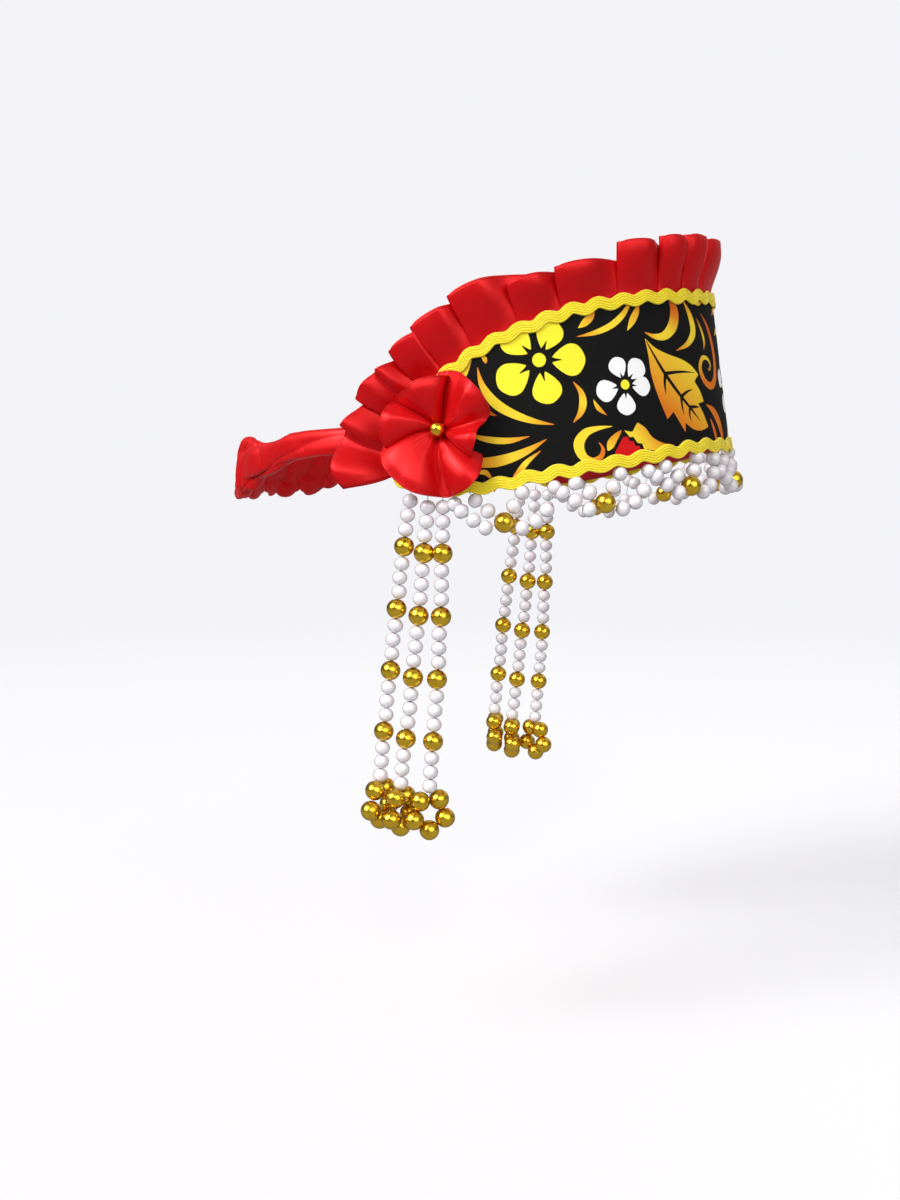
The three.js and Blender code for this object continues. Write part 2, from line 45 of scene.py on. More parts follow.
# Head opening and band, the same sizes as the solids have
HALF_WIDTH = 78
HALF_DEPTH = 103.6
LEAN = math.tan(math.radians(7.8))
BAND_HALF = 161
BAND_HEIGHT = 64.6
BAND_FOOT = 5.2
BAND_WALL = 2.6

# Camera, from the photograph: its focal length and the photograph's height in pixels, the rest in
# degrees and millimetres
PHOTO_HEIGHT = 1200
FOCAL_PIXELS = 1512
SENSOR = 36
CAMERA_AZIMUTH = -72
CAMERA_ELEVATION = 5.7
CAMERA_DISTANCE = 665
CAMERA_TARGET = (-4.7, 14.5, -60)
FLOOR_UP = -233

# Edge of the band: along as a share of BAND_HALF, up as a share of BAND_HEIGHT over BAND_FOOT
BAND_EDGE = [
    (0, 1), (0.22, 0.989), (0.41, 0.938), (0.57, 0.848), (0.65, 0.78), (0.72, 0.709),
    (0.79, 0.615), (0.86, 0.486), (0.93, 0.322), (0.98, 0.149), (1, 0.009), (0.985, -0.122),
    (0.95, -0.211), (0.9, -0.249), (0.82, -0.266), (0.72, -0.24), (0.57, -0.161), (0.41, -0.1),
    (0.3, -0.053), (0.15, -0.005), (0, 0),
]


def photo_camera():
    azimuth = math.radians(CAMERA_AZIMUTH)
    elevation = math.radians(CAMERA_ELEVATION)
    back = Vector((
        math.sin(azimuth) * math.cos(elevation),
        -math.cos(azimuth) * math.cos(elevation),
        math.sin(elevation),
    ))
    camera = bpy.data.objects.new("camera", bpy.data.cameras.new("camera"))
    bpy.context.collection.objects.link(camera)
    camera.data.sensor_width = SENSOR
    camera.data.lens = FOCAL_PIXELS * SENSOR / PHOTO_HEIGHT
    camera.data.clip_start = 0.01
    camera.data.clip_end = 60
    camera.location = (Vector(CAMERA_TARGET) + back * CAMERA_DISTANCE) * MM
    camera.rotation_mode = "QUATERNION"
    camera.rotation_quaternion = (-back).to_track_quat("-Z", "Y")
    bpy.context.scene.camera = camera


photo_camera()


# Curves and tables


def catmull_rom(points, steps, closed=False):
    """A centripetal Catmull-Rom curve through points, with so many steps between two of them."""
    p = np.asarray(points, float)
    if closed:
        ring = np.concatenate([p[-1:], p, p[:2]])
    else:
        ring = np.concatenate([2 * p[:1] - p[1:2], p, 2 * p[-1:] - p[-2:-1]])
    t = (np.arange(steps) / steps)[:, None]
    parts = []
    for a, b, c, d in zip(ring, ring[1:], ring[2:], ring[3:]):
        gaps = [max(np.sum((q - r) ** 2) ** 0.25, 1e-4) for q, r in ((b, a), (c, b), (d, c))]
        start = (b - a) / gaps[0] - (c - a) / (gaps[0] + gaps[1]) + (c - b) / gaps[1]
        end = (c - b) / gaps[1] - (d - b) / (gaps[1] + gaps[2]) + (d - c) / gaps[2]
        start = start * gaps[1]
        end = end * gaps[1]
        cube = 2 * b - 2 * c + start + end
        square = -3 * b + 3 * c - 2 * start - end
        parts.append(b + start * t + square * t**2 + cube * t**3)
    if not closed:
        parts.append(p[-1:])
    return np.concatenate(parts)


def gaps_along(curve):
    """How far each point of a curve is from the one before it."""
    return np.linalg.norm(np.diff(curve, axis=0), axis=1)


def distances(curve):
    """How far each point of a curve is from its first one, along it."""
    return np.concatenate([[0], np.cumsum(gaps_along(curve))])


def evenly(curve, count, closed=False):
    """So many points at even distances along a curve."""
    c = np.concatenate([curve, curve[:1]]) if closed else curve
    along = distances(c)
    places = np.linspace(0, along[-1], count, endpoint=not closed)
    return np.stack([np.interp(places, along, c[:, k]) for k in range(c.shape[1])], axis=1)


def round_length(curve):
    """The length of a closed curve."""
    return float(gaps_along(np.concatenate([curve, curve[:1]])).sum())


def smoothstep(low, high, x):
    t = np.clip((x - low) / (high - low), 0, 1)
    return t * t * (3 - 2 * t)


def from_table(rows, x, column):
    """A column of a table, smoothly between its rows, whose first column is x."""
    curve = catmull_rom(rows, 24)
    return np.interp(x, curve[:, 0], curve[:, column])


# Places on the head

OPENING_STEPS = 5760
opening_angles = np.linspace(-math.pi, math.pi, OPENING_STEPS + 1)
opening_points = np.stack(
    [HALF_WIDTH * np.sin(opening_angles), -HALF_DEPTH * np.cos(opening_angles)], axis=1
)
opening_along = distances(opening_points)
HALF_GIRTH = opening_along[-1] / 2
opening_along -= HALF_GIRTH


def on_head(along, up, out):
    """Points in metres at a distance along the head from the middle of the front, a height, and a
    distance out from the band's inner face."""
    along, up, out = np.broadcast_arrays(*(np.asarray(v, float) for v in (along, up, out)))
    wrapped = (along + HALF_GIRTH) % (2 * HALF_GIRTH) - HALF_GIRTH
    angle = np.interp(wrapped, opening_along, opening_angles)
    normal = np.stack([np.sin(angle) / HALF_WIDTH, -np.cos(angle) / HALF_DEPTH], axis=-1)
    normal /= np.linalg.norm(normal, axis=-1, keepdims=True)
    offset = out - up * LEAN
    x = HALF_WIDTH * np.sin(angle) + normal[..., 0] * offset
    y = -HALF_DEPTH * np.cos(angle) + normal[..., 1] * offset
    return np.stack([x, y, up], axis=-1) * MM


edge_half = np.array([(a * BAND_HALF, BAND_FOOT + u * BAND_HEIGHT) for a, u in BAND_EDGE])
edge_ring = np.concatenate([edge_half, edge_half[-2:0:-1] * (-1, 1)])
EDGE_STEPS = 8000
edge = evenly(catmull_rom(edge_ring, 200, closed=True), EDGE_STEPS, closed=True)
EDGE_LENGTH = round_length(edge)
edge_tangent = np.roll(edge, -1, axis=0) - np.roll(edge, 1, axis=0)
edge_tangent /= np.linalg.norm(edge_tangent, axis=1, keepdims=True)


def beside_edge_flat(turn, outside):
    """(along, up) at a distance round the edge from the middle of the top, outside the edge."""
    turn, outside = np.broadcast_arrays(np.asarray(turn, float), np.asarray(outside, float))
    place = (turn / EDGE_LENGTH) % 1 * EDGE_STEPS
    low = np.floor(place).astype(int) % EDGE_STEPS
    high = (low + 1) % EDGE_STEPS
    share = (place - np.floor(place))[..., None]
    point = edge[low] * (1 - share) + edge[high] * share
    tangent = edge_tangent[low] * (1 - share) + edge_tangent[high] * share
    out_x = point[..., 0] - tangent[..., 1] * outside
    out_y = point[..., 1] + tangent[..., 0] * outside
    return np.stack([out_x, out_y], axis=-1)


def beside_edge(turn, outside, out):
    flat = beside_edge_flat(turn, outside)
    return on_head(flat[..., 0], flat[..., 1], out)


tip_step = int(np.argmax(edge[:, 0]))
lower_edge = edge[tip_step : EDGE_STEPS // 2 + 1][::-1]


def lower_edge_at(along):
    return np.interp(np.abs(along), lower_edge[:, 0], lower_edge[:, 1])


# Meshes


def grid_faces(rows, columns, close_rows=False, close_columns=False):
    """Quads of a grid of points stored row by row."""
    last_row = rows if close_rows else rows - 1
    last_column = columns if close_columns else columns - 1
    r, c = np.meshgrid(np.arange(last_row), np.arange(last_column), indexing="ij")
    a = r * columns + c
    b = r * columns + (c + 1) % columns
    d = ((r + 1) % rows) * columns + c
    e = ((r + 1) % rows) * columns + (c + 1) % columns
    return np.stack([a, b, e, d], axis=-1).reshape(-1, 4)


def piece(name, points, faces, material, replaces, uv=None):
    """A smooth mesh object that rides on the body. uv has a row for each point."""
    mesh = bpy.data.meshes.new(name)
    corners_of_faces = [[int(number) for number in face] for face in faces]
    mesh.from_pydata(np.asarray(points).reshape(-1, 3).tolist(), [], corners_of_faces)
    mesh.validate()
    if uv is not None:
        layer = mesh.uv_layers.new(name="cloth")
        corners = np.zeros(len(mesh.loops), int)
        mesh.loops.foreach_get("vertex_index", corners)
        layer.data.foreach_set("uv", np.asarray(uv, float).reshape(-1, 2)[corners].ravel())
    mesh.materials.append(material)
    mesh.polygons.foreach_set("use_smooth", [True] * len(mesh.polygons))
    obj = bpy.data.objects.new(name, mesh)
    bpy.context.collection.objects.link(obj)
    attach(obj, "root")
    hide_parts(*replaces)
    return obj


def thicken(obj, thickness, offset=0):
    """Gives a sheet its thickness in millimetres. offset -1 adds it all behind the sheet."""
    modifier = obj.modifiers.new("thickness", "SOLIDIFY")
    modifier.thickness = thickness * MM
    modifier.offset = offset
    modifier.use_even_offset = False


# Colours and materials


def linear(colour):
    """Red, green and blue from 0 to 255 as the renderer's own linear colour."""
    share = np.asarray(colour, float) / 255
    curve = np.where(share <= 0.04045, share / 12.92, ((share + 0.055) / 1.055) ** 2.4)
    return tuple(float(v) for v in curve)


HEM_IN = 0.7  # how far inside its free edge the satin ribbon is hemmed


class Nodes:
    """Short calls that add nodes to a material or to the world."""

    def __init__(self, tree):
        self.nodes = tree.nodes
        self.links = tree.links

    def node(self, kind, **settings):
        made = self.nodes.new(kind)
        for key, value in settings.items():
            setattr(made, key, value)
        return made

    def link(self, source, target):
        self.links.new(source, target)

    def ramp(self, value, low, high, low_to=0.0, high_to=1.0, **settings):
        made = self.node("ShaderNodeMapRange", **settings)
        numbers = {"From Min": low, "From Max": high, "To Min": low_to, "To Max": high_to}
        for socket, number in numbers.items():
            made.inputs[socket].default_value = number
        self.link(value, made.inputs["Value"])
        return made.outputs["Result"]

    def maths(self, operation, first, second=0):
        made = self.node("ShaderNodeMath", operation=operation)
        for socket, value in zip(made.inputs, (first, second)):
            if isinstance(value, (int, float)):
                socket.default_value = value
            else:
                self.link(value, socket)
        return made.outputs["Value"]

    def mix_shaders(self, share, first, second, output):
        made = self.node("ShaderNodeMixShader")
        for socket, source in zip(made.inputs, (share, first, second)):
            self.link(source, socket)
        self.link(made.outputs[0], output.inputs["Surface"])


class Finish(Nodes):
    """A material with a Principled shader."""

    def __init__(self, name, **settings):
        self.material = bpy.data.materials.new(name)
        self.material.use_nodes = True
        super().__init__(self.material.node_tree)
        self.shader = next(n for n in self.nodes if n.type == "BSDF_PRINCIPLED")
        for socket, value in settings.items():
            self.shader.inputs[socket.replace("_", " ")].default_value = value

    def scaled(self, vector, scale):
        mapping = self.node("ShaderNodeMapping")
        mapping.inputs["Scale"].default_value = scale
        self.link(vector, mapping.inputs["Vector"])
        return mapping.outputs["Vector"]

    def uv(self, scale):
        """The cloth's own place, along and across, in millimetres times scale."""
        return self.scaled(self.node("ShaderNodeUVMap", uv_map="cloth").outputs["UV"], scale)

    def position(self, scale):
        """The place on the object, in millimetres times scale."""
        place = self.node("ShaderNodeTexCoord")
        return self.scaled(place.outputs["Object"], [s / MM for s in scale])

    def noise(self, vector, detail):
        made = self.node("ShaderNodeTexNoise")
        made.inputs["Scale"].default_value = 1
        made.inputs["Detail"].default_value = detail
        self.link(vector, made.inputs["Vector"])
        return made.outputs["Fac"]

    def wave(self, vector, direction, distortion):
        made = self.node("ShaderNodeTexWave", bands_direction=direction)
        made.inputs["Scale"].default_value = 1
        made.inputs["Distortion"].default_value = distortion
        self.link(vector, made.inputs["Vector"])
        return made.outputs["Fac"]

    def mix(self, share, first, second, blend="MIX"):
        made = self.node("ShaderNodeMix", data_type="RGBA", blend_type=blend)
        sockets = {"Factor_Float": share, "A_Color": first, "B_Color": second}
        for socket in made.inputs:
            if socket.identifier in sockets:
                value = sockets[socket.identifier]
                if isinstance(value, (int, float)):
                    socket.default_value = value
                elif isinstance(value, tuple):
                    socket.default_value = (*value, 1)
                else:
                    self.link(value, socket)
        return next(s for s in made.outputs if s.identifier == "Result_Color")

    def rim(self, most):
        """A share for painted shade and dark reflection, rising from 0 where a bead faces the eye
        to most at its outline.
        """
        grazing = self.node("ShaderNodeLayerWeight")
        return self.ramp(grazing.outputs["Facing"], 0.3, 0.95, 0, most)

    def bump(self, height, strength, distance):
        """Adds a bump, distance millimetres deep, over the ones that are there."""
        made = self.node("ShaderNodeBump")
        made.inputs["Strength"].default_value = strength
        made.inputs["Distance"].default_value = distance * MM
        self.link(height, made.inputs["Height"])
        normal = self.shader.inputs["Normal"]
        if normal.is_linked:
            self.link(normal.links[0].from_socket, made.inputs["Normal"])
        self.link(made.outputs["Normal"], normal)

    def colour(self, source):
        self.link(source, self.shader.inputs["Base Color"])

    def roughness(self, source):
        self.link(source, self.shader.inputs["Roughness"])


def satin(name, dark, bright):
    finish = Finish(
        name,
        Metallic=0.36,
        Sheen_Weight=0.06,
        Sheen_Roughness=0.3,
        Sheen_Tint=(1, 0.3, 0.3, 1),
        Anisotropic=0.6,
    )
    finish.shader.inputs["Specular IOR Level"].default_value = 0.3
    cloud = finish.noise(finish.position((0.12, 0.12, 0.12)), detail=2)
    body = finish.mix(cloud, linear(dark), linear(bright))
    place = finish.node("ShaderNodeSeparateXYZ")
    finish.link(finish.uv((1, 1, 1)), place.inputs[0])
    from_hem = finish.maths("ABSOLUTE", finish.maths("SUBTRACT", place.outputs["X"], HEM_IN))
    hem = finish.ramp(from_hem, 0.08, 0.3, 1, 0)
    finish.colour(finish.mix(finish.maths("MULTIPLY", hem, 0.3), body, linear((110, 2, 8))))
    threads = finish.noise(finish.uv((6, 0.5, 1)), detail=2)
    finish.roughness(finish.ramp(threads, 0.25, 0.75, 0.34, 0.44))
    finish.bump(threads, 0.25, 0.05)
    finish.bump(finish.maths("SUBTRACT", 1.0, hem), 0.5, 0.12)
    finish.bump(finish.noise(finish.position((0.35, 0.35, 0.35)), detail=3), 0.3, 0.3)
    return finish.material


def print_cloth():
    finish = Finish("print", Roughness=0.8)
    finish.shader.inputs["Specular IOR Level"].default_value = 0.12
    painted = finish.node("ShaderNodeVertexColor", layer_name="print")
    twill = finish.wave(finish.uv((1.1, 1.1, 1)), "DIAGONAL", 0.6)
    weft = finish.wave(finish.uv((3.4, 3.4, 1)), "Y", 0.4)
    shade = finish.ramp(twill, 0, 1, 0.82, 1.06)
    shaded = finish.mix(1.0, painted.outputs["Color"], shade, "MULTIPLY")
    wear = finish.noise(finish.uv((0.5, 0.5, 1)), detail=4)
    dust = finish.ramp(wear, 0.55, 0.8, 0, 0.012)
    finish.colour(finish.mix(dust, shaded, linear((150, 140, 130))))
    finish.bump(finish.maths("ADD", twill, weft), 0.35, 0.07)
    return finish.material


def braid_cord():
    finish = Finish("braid", Sheen_Weight=0.3, Sheen_Roughness=0.4, Sheen_Tint=(1, 0.95, 0.6, 1))
    strands = finish.wave(finish.uv((1.6, 1.6, 1)), "DIAGONAL", 1.0)
    uneven = finish.noise(finish.uv((0.25, 0.8, 1)), detail=3)
    body = finish.mix(uneven, linear((250, 218, 16)), linear((255, 242, 44)))
    shade = finish.ramp(strands, 0, 1, 0.82, 1.06)
    finish.colour(finish.mix(1.0, body, shade, "MULTIPLY"))
    finish.roughness(finish.ramp(strands, 0, 1, 0.62, 0.5))
    finish.bump(strands, 0.4, 0.15)
    return finish.material


def pearl_glaze():
    finish = Finish(
        "pearl",
        Coat_Weight=0.9,
        Coat_Roughness=0.06,
        Sheen_Weight=0.15,
        Sheen_Roughness=0.5,
        Sheen_Tint=(0.93, 0.9, 1, 1),
    )
    cloud = finish.noise(finish.position((0.3, 0.3, 0.3)), detail=2)
    body = finish.mix(cloud, linear((222, 218, 223)), linear((235, 231, 235)))
    # Painted shade: the pearl is darkened towards its outline
    finish.colour(finish.mix(finish.rim(0.8), body, linear((158, 146, 147))))
    finish.roughness(finish.ramp(cloud, 0.3, 0.7, 0.16, 0.26))
    finish.bump(finish.noise(finish.position((1.1, 1.1, 1.1)), detail=2), 0.08, 0.06)
    return finish.material


def gilt_plate():
    finish = Finish("gilt", Metallic=1.0)
    cloud = finish.noise(finish.position((0.35, 0.35, 0.35)), detail=3)
    body = finish.mix(cloud, linear((210, 164, 32)), linear((245, 208, 70)))
    # Painted dark reflection: the gilt is darkened towards its outline
    finish.colour(finish.mix(finish.rim(0.8), body, linear((104, 66, 6))))
    worn = finish.noise(finish.position((0.9, 0.9, 0.9)), detail=4)
    finish.roughness(finish.ramp(worn, 0.35, 0.75, 0.13, 0.3))
    finish.bump(finish.noise(finish.position((0.55, 0.55, 0.55)), detail=1), 0.35, 0.35)
    return finish.material


def clear_thread():
    finish = Finish("thread", Transmission_Weight=0.4)
    cloud = finish.noise(finish.position((0.5, 0.5, 0.5)), detail=1)
    finish.colour(finish.mix(cloud, linear((205, 205, 200)), linear((235, 235, 230))))
    finish.roughness(finish.ramp(cloud, 0, 1, 0.2, 0.35))
    return finish.material


SATIN = satin("satin", (196, 3, 9), (216, 8, 16))
LINING = satin("lining", (128, 4, 14), (150, 8, 18))
PRINT = print_cloth()
BRAID = braid_cord()
PEARL = pearl_glaze()
GILT = gilt_plate()
THREAD = clear_thread()


# The print: flowers, leaves, berries and scrolls in (along, up) on the wearer's right half. One
# repeat of the cloth further on they come again.

YELLOW = (252, 238, 58)
GOLD = (252, 220, 58)
ORANGE = (228, 122, 32)
RUST = (204, 88, 26)
WHITE = (253, 253, 255)
RED = (214, 22, 26)
BLACK = (17, 17, 17)
REPEAT = 140
OUTLINE_STEP = 0.9
FEW_POINTS = 30  # an outline with fewer points keeps them as they are
CIRCLE_STEPS = 24
THINNEST_STROKE = 0.12
DISC_RIM = 0.8  # black line round the disc of a flower

# A petal: distance from the middle and half of its width, as shares of its reach
PETAL = [(0.27, 0.05), (0.36, 0.15), (0.5, 0.26), (0.66, 0.335), (0.82, 0.31), (0.94, 0.18), (1, 0)]
SPIKE = [(0.12, 0.06), (0.22, 0.075), (0.34, 0.035), (0.5, 0)]

FLOWERS = [
    {
        "middle": (-99.7, 39.9), "colour": YELLOW, "disc": 2.7, "spike": 1.0,
        "petals": [(68, 16.4), (1, 18.4), (-75, 17.2), (-146, 19), (141, 18)],
    },
    {
        "middle": (-65.1, 30.8), "colour": WHITE, "disc": 1.9, "spike": 0.95,
        "petals": [(113, 11.2), (50, 12.2), (-4, 11.2), (-89, 11.8), (-163, 12.6)],
    },
    {
        "middle": (6, 32), "colour": WHITE, "disc": 1.9, "spike": 0.95,
        "petals": [(158, 11.8), (86, 11.5), (22, 11.8), (-52, 11.6), (-118, 12)],
    },
]

# Scrolls and blades: the colours from the first point to the last, and points (along, up, width)
SCROLLS = [
    ((RUST, ORANGE, GOLD, GOLD, ORANGE), [
        (-40.4, 65.5, 1.5), (-38.2, 60, 4.8), (-39.8, 54.5, 5), (-45, 50.2, 3.4), (-50, 49.7, 2),
        (-55.2, 51.3, 0.2)]),
    ((ORANGE, GOLD, GOLD, ORANGE), [
        (-31.8, 64.5, 0.6), (-27.6, 58, 3.2), (-26.8, 52.5, 3.7), (-31, 47.9, 2.4),
        (-39.1, 44.5, 0.2)]),
    ((RUST, ORANGE, ORANGE, GOLD, ORANGE), [
        (-18.8, 60.5, 0.2), (-12.5, 54.5, 2.5), (-8.8, 47, 3.2), (-8.6, 40, 3.4),
        (-11.5, 33.7, 3.3), (-16.7, 31.4, 3), (-21.7, 33.6, 2.8), (-24, 38.2, 2.4),
        (-21.6, 42.2, 2), (-17, 42.4, 1.5), (-14.4, 40, 1.1), (-16, 37.8, 0.8),
        (-17.6, 38.4, 0.3)]),
    ((ORANGE, GOLD, ORANGE), [
        (-23.2, 58.3, 0.2), (-19.4, 53, 1.6), (-18.2, 49, 1.5), (-19.4, 45.6, 0.2)]),
    ((ORANGE, GOLD, ORANGE), [
        (-28, 67.5, 0.6), (-24.5, 65.2, 2), (-20, 64.2, 1.8), (-15.5, 65.2, 0.2)]),
    ((ORANGE, GOLD, GOLD, ORANGE), [
        (-84.8, 48.8, 0.2), (-76.8, 50.6, 1.9), (-69.8, 53.6, 2.5), (-64.6, 57.8, 2.3),
        (-60.8, 62.8, 0.9)]),
    ((GOLD, ORANGE), [
        (-84, 52.1, 0.2), (-81, 54.4, 2.9), (-78.4, 56.7, 2.4), (-77, 59, 0.3)]),
    ((GOLD, ORANGE), [
        (-63, 51.5, 0.2), (-60.4, 55.6, 2.9), (-58, 59.6, 2.3), (-57.2, 62, 0.3)]),
    ((ORANGE, GOLD, GOLD, ORANGE), [
        (-123.9, 37.4, 0.2), (-121.9, 30.5, 2.3), (-117, 23.9, 3.7), (-110.2, 19.6, 3.3),
        (-101.6, 16.6, 2), (-93.8, 15.3, 0.2)]),
    ((ORANGE, GOLD, ORANGE), [
        (-126.5, 11.7, 0.6), (-119.4, 9.7, 2.3), (-111.6, 9.2, 2.3), (-103.2, 10.9, 0.2)]),
    ((ORANGE, GOLD, ORANGE), [
        (-126, 0.9, 3), (-117, 1.1, 4.1), (-109.5, 3.1, 3.6), (-103, 6.1, 2.3),
        (-96.8, 9.9, 0.2)]),
    ((ORANGE, GOLD, ORANGE), [
        (-108.6, -5, 2.6), (-104.9, 0.6, 2.1), (-99, 5.6, 0.2)]),
    ((ORANGE, GOLD, ORANGE), [
        (-86.5, 31.8, 0.2), (-83.4, 27.7, 2.1), (-82.7, 23.6, 3), (-83.8, 19.8, 2.3),
        (-86.8, 16, 0.2)]),
    ((GOLD, ORANGE), [
        (-78.6, 24.9, 0.3), (-76.6, 21.6, 1.8), (-73.2, 18.9, 0.2)]),
    ((GOLD, GOLD, GOLD, ORANGE, ORANGE), [
        (-71, 14.8, 0.2), (-77, 14, 1.7), (-82, 12.2, 3.2), (-84.7, 8, 4.1), (-83.3, 3.4, 3.3),
        (-79.4, 1.6, 2.3), (-76.2, 3.2, 2), (-75.3, 6, 1.4), (-77, 8.9, 0.2)]),
    ((GOLD, ORANGE), [
        (-73.4, 5.4, 0.6), (-72, 8, 3.4), (-69.8, 10.9, 2.4), (-67.4, 13.4, 0.2)]),
    ((GOLD, ORANGE), [
        (-122.6, 42.4, 0.6), (-121, 40.3, 1.9), (-120.5, 38.4, 0.2)]),
    ((ORANGE, RUST), [
        (-121.5, 21.8, 0.4), (-119.2, 20, 1.5), (-115.8, 18.6, 0.2)]),
    ((GOLD, ORANGE), [
        (-123, -3.2, 0.6), (-120, -2.8, 2), (-117.4, -5.4, 0.6)]),
    ((ORANGE, GOLD, ORANGE), [
        (-140, 20, 0.4), (-135.4, 26, 4), (-130.8, 34.6, 5.6), (-127.4, 41.5, 3),
        (-126.4, 46, 0.4)]),
    ((ORANGE, ORANGE, RUST), [
        (-22.4, 24, 0.2), (-16, 21, 3.4), (-11.5, 16.5, 4.2), (-9.4, 11, 3), (-9, 4, 0.6)]),
    ((ORANGE, RUST), [
        (-20, 18.5, 0.3), (-17.6, 14, 2.1), (-16, 9, 1.6), (-15.6, 4, 0.3)]),
    ((ORANGE, GOLD, ORANGE), [
        (-4, 60.5, 0.3), (2, 63, 2.4), (8, 61.6, 2.8), (14, 57.4, 1.8), (17.5, 53, 0.2)]),
    ((GOLD, ORANGE), [
        (-2.5, 52.5, 0.4), (2.6, 54.6, 2.4), (7.6, 52.6, 2), (10.4, 49.4, 0.2)]),
    ((ORANGE, GOLD, ORANGE), [
        (-2.6, 6, 0.3), (2.4, 11.4, 2.6), (8.6, 13.6, 3.2), (15, 11.6, 2.2), (20, 7, 0.2)]),
]

# Leaf: its outline, and its veins as (along, up, width)
LEAF = [
    (-55, 48.9), (-50.5, 45.5), (-44.4, 43.2), (-36, 41.2), (-30.3, 38.9), (-26, 35.6),
    (-29.3, 32.9), (-26, 29.2), (-23.8, 25), (-28.2, 24.1), (-25.2, 20.4), (-22.3, 14.9),
    (-28, 13.4), (-33, 14), (-37.1, 16.4), (-37.5, 12.6), (-43.2, 20.6), (-46.5, 17.6),
    (-50.6, 27.2), (-53, 35), (-53.8, 42.3),
]
LEAF_TIPS = (0, 5, 6, 8, 9, 11, 14, 15, 16, 17)
VEINS = [
    [(-54.6, 48.2, 0.4), (-50.5, 41.6, 1), (-46, 35.2, 1.5), (-38.6, 27, 1.4), (-32.5, 21.4, 1),
     (-27.6, 17, 0.2)],
    [(-46.4, 35.4, 1.5), (-38, 36.3, 1), (-28.6, 36.4, 0.2)],
    [(-46, 35.4, 1.7), (-46.6, 31.5, 1.2), (-46.4, 27, 0.2)],
    [(-38.6, 26.4, 1.5), (-34.6, 28.6, 1), (-31, 29.6, 0.2)],
    [(-38.4, 27, 1.4), (-38.2, 23, 1), (-37.6, 19.4, 0.2)],
    [(-33.4, 22.6, 1.5), (-30, 22.8, 1), (-27.4, 22.6, 0.2)],
    [(-33.8, 22.4, 1.3), (-34.2, 19.4, 0.9), (-33.6, 16.8, 0.2)],
]
BERRY_LEAF = [
    (-66.4, 13.2), (-63, 12.6), (-60.6, 16.4), (-57, 14), (-54.5, 10.8), (-50, 8.6), (-44.4, 7.8),
    (-43.6, 5), (-50, 4.6), (-56, 5.6), (-58.6, 3.2), (-60, 6.6), (-63, 9.4),
]
BERRY = [
    (-72, -1), (-70.2, 5.4), (-67, 10.6), (-65.2, 10.9), (-64.2, 9), (-62.8, 9.2), (-62, 7.2),
    (-60.4, 7.4), (-59.6, 5.6), (-58, 6.2), (-57, 3), (-58, -2),
]
BERRY_LEAF_TIPS = (0, 1, 2, 6, 7, 10)
BERRY_RIM = 1.6


def stroke(rows):
    """The outline of a stroke from points (along, up, width)."""
    line = catmull_rom(rows, 12)
    tangent = np.gradient(line[:, :2], axis=0)
    tangent /= np.maximum(np.linalg.norm(tangent, axis=1, keepdims=True), 1e-9)
    normal = np.stack([-tangent[:, 1], tangent[:, 0]], axis=1)
    half = np.maximum(line[:, 2:3], THINNEST_STROKE) / 2
    outline = np.concatenate([line[:, :2] + normal * half, (line[:, :2] - normal * half)[::-1]])
    return outline, line[:, :2]


def along_colours(stops, line):
    """Colour at points by how far along a line they lie."""
    stops = np.array([linear(c) for c in stops])

    def colour(points):
        nearest = np.argmin(((points[:, None] - line[None]) ** 2).sum(axis=2), axis=1)
        place = nearest / (len(line) - 1) * (len(stops) - 1)
        low = np.minimum(place.astype(int), len(stops) - 2)
        share = (place - low)[:, None]
        return stops[low] * (1 - share) + stops[low + 1] * share

    return colour


def plain(colour):
    value = np.array(linear(colour))
    return lambda points: np.tile(value, (len(points), 1))


def between(first, second, start, end):
    """Colour from one place to another, straight across a motif."""
    a, b = np.array(linear(first)), np.array(linear(second))
    way = np.subtract(end, start)

    def colour(points):
        share = np.clip((points - start) @ way / (way @ way), 0, 1)[:, None]
        return a * (1 - share) + b * share

    return colour


def spread(rows, middle, degrees, reach):
    """The outline of a petal or spike that points away from the middle of its flower."""
    rows = np.array(rows)
    half = catmull_rom(np.concatenate([rows * (1, 1), rows[-2::-1] * (1, -1)]), 8)
    turn = math.radians(degrees)
    axis = np.array([math.cos(turn), math.sin(turn)])
    across = np.array([-axis[1], axis[0]])
    return middle + reach * (half[:, :1] * axis + half[:, 1:] * across)


def circle(middle, radius):
    angle = np.linspace(0, 2 * math.pi, CIRCLE_STEPS, endpoint=False)
    return middle + radius * np.stack([np.cos(angle), np.sin(angle)], axis=1)


def cornered(points, tips):
    """An outline that is smooth except at its tips."""
    closed = list(points) + [points[0]]
    corners = sorted(set(tips) | {0, len(points)})
    parts = [catmull_rom(closed[a : b + 1], 6)[:-1] for a, b in zip(corners, corners[1:])]
    return np.concatenate(parts)


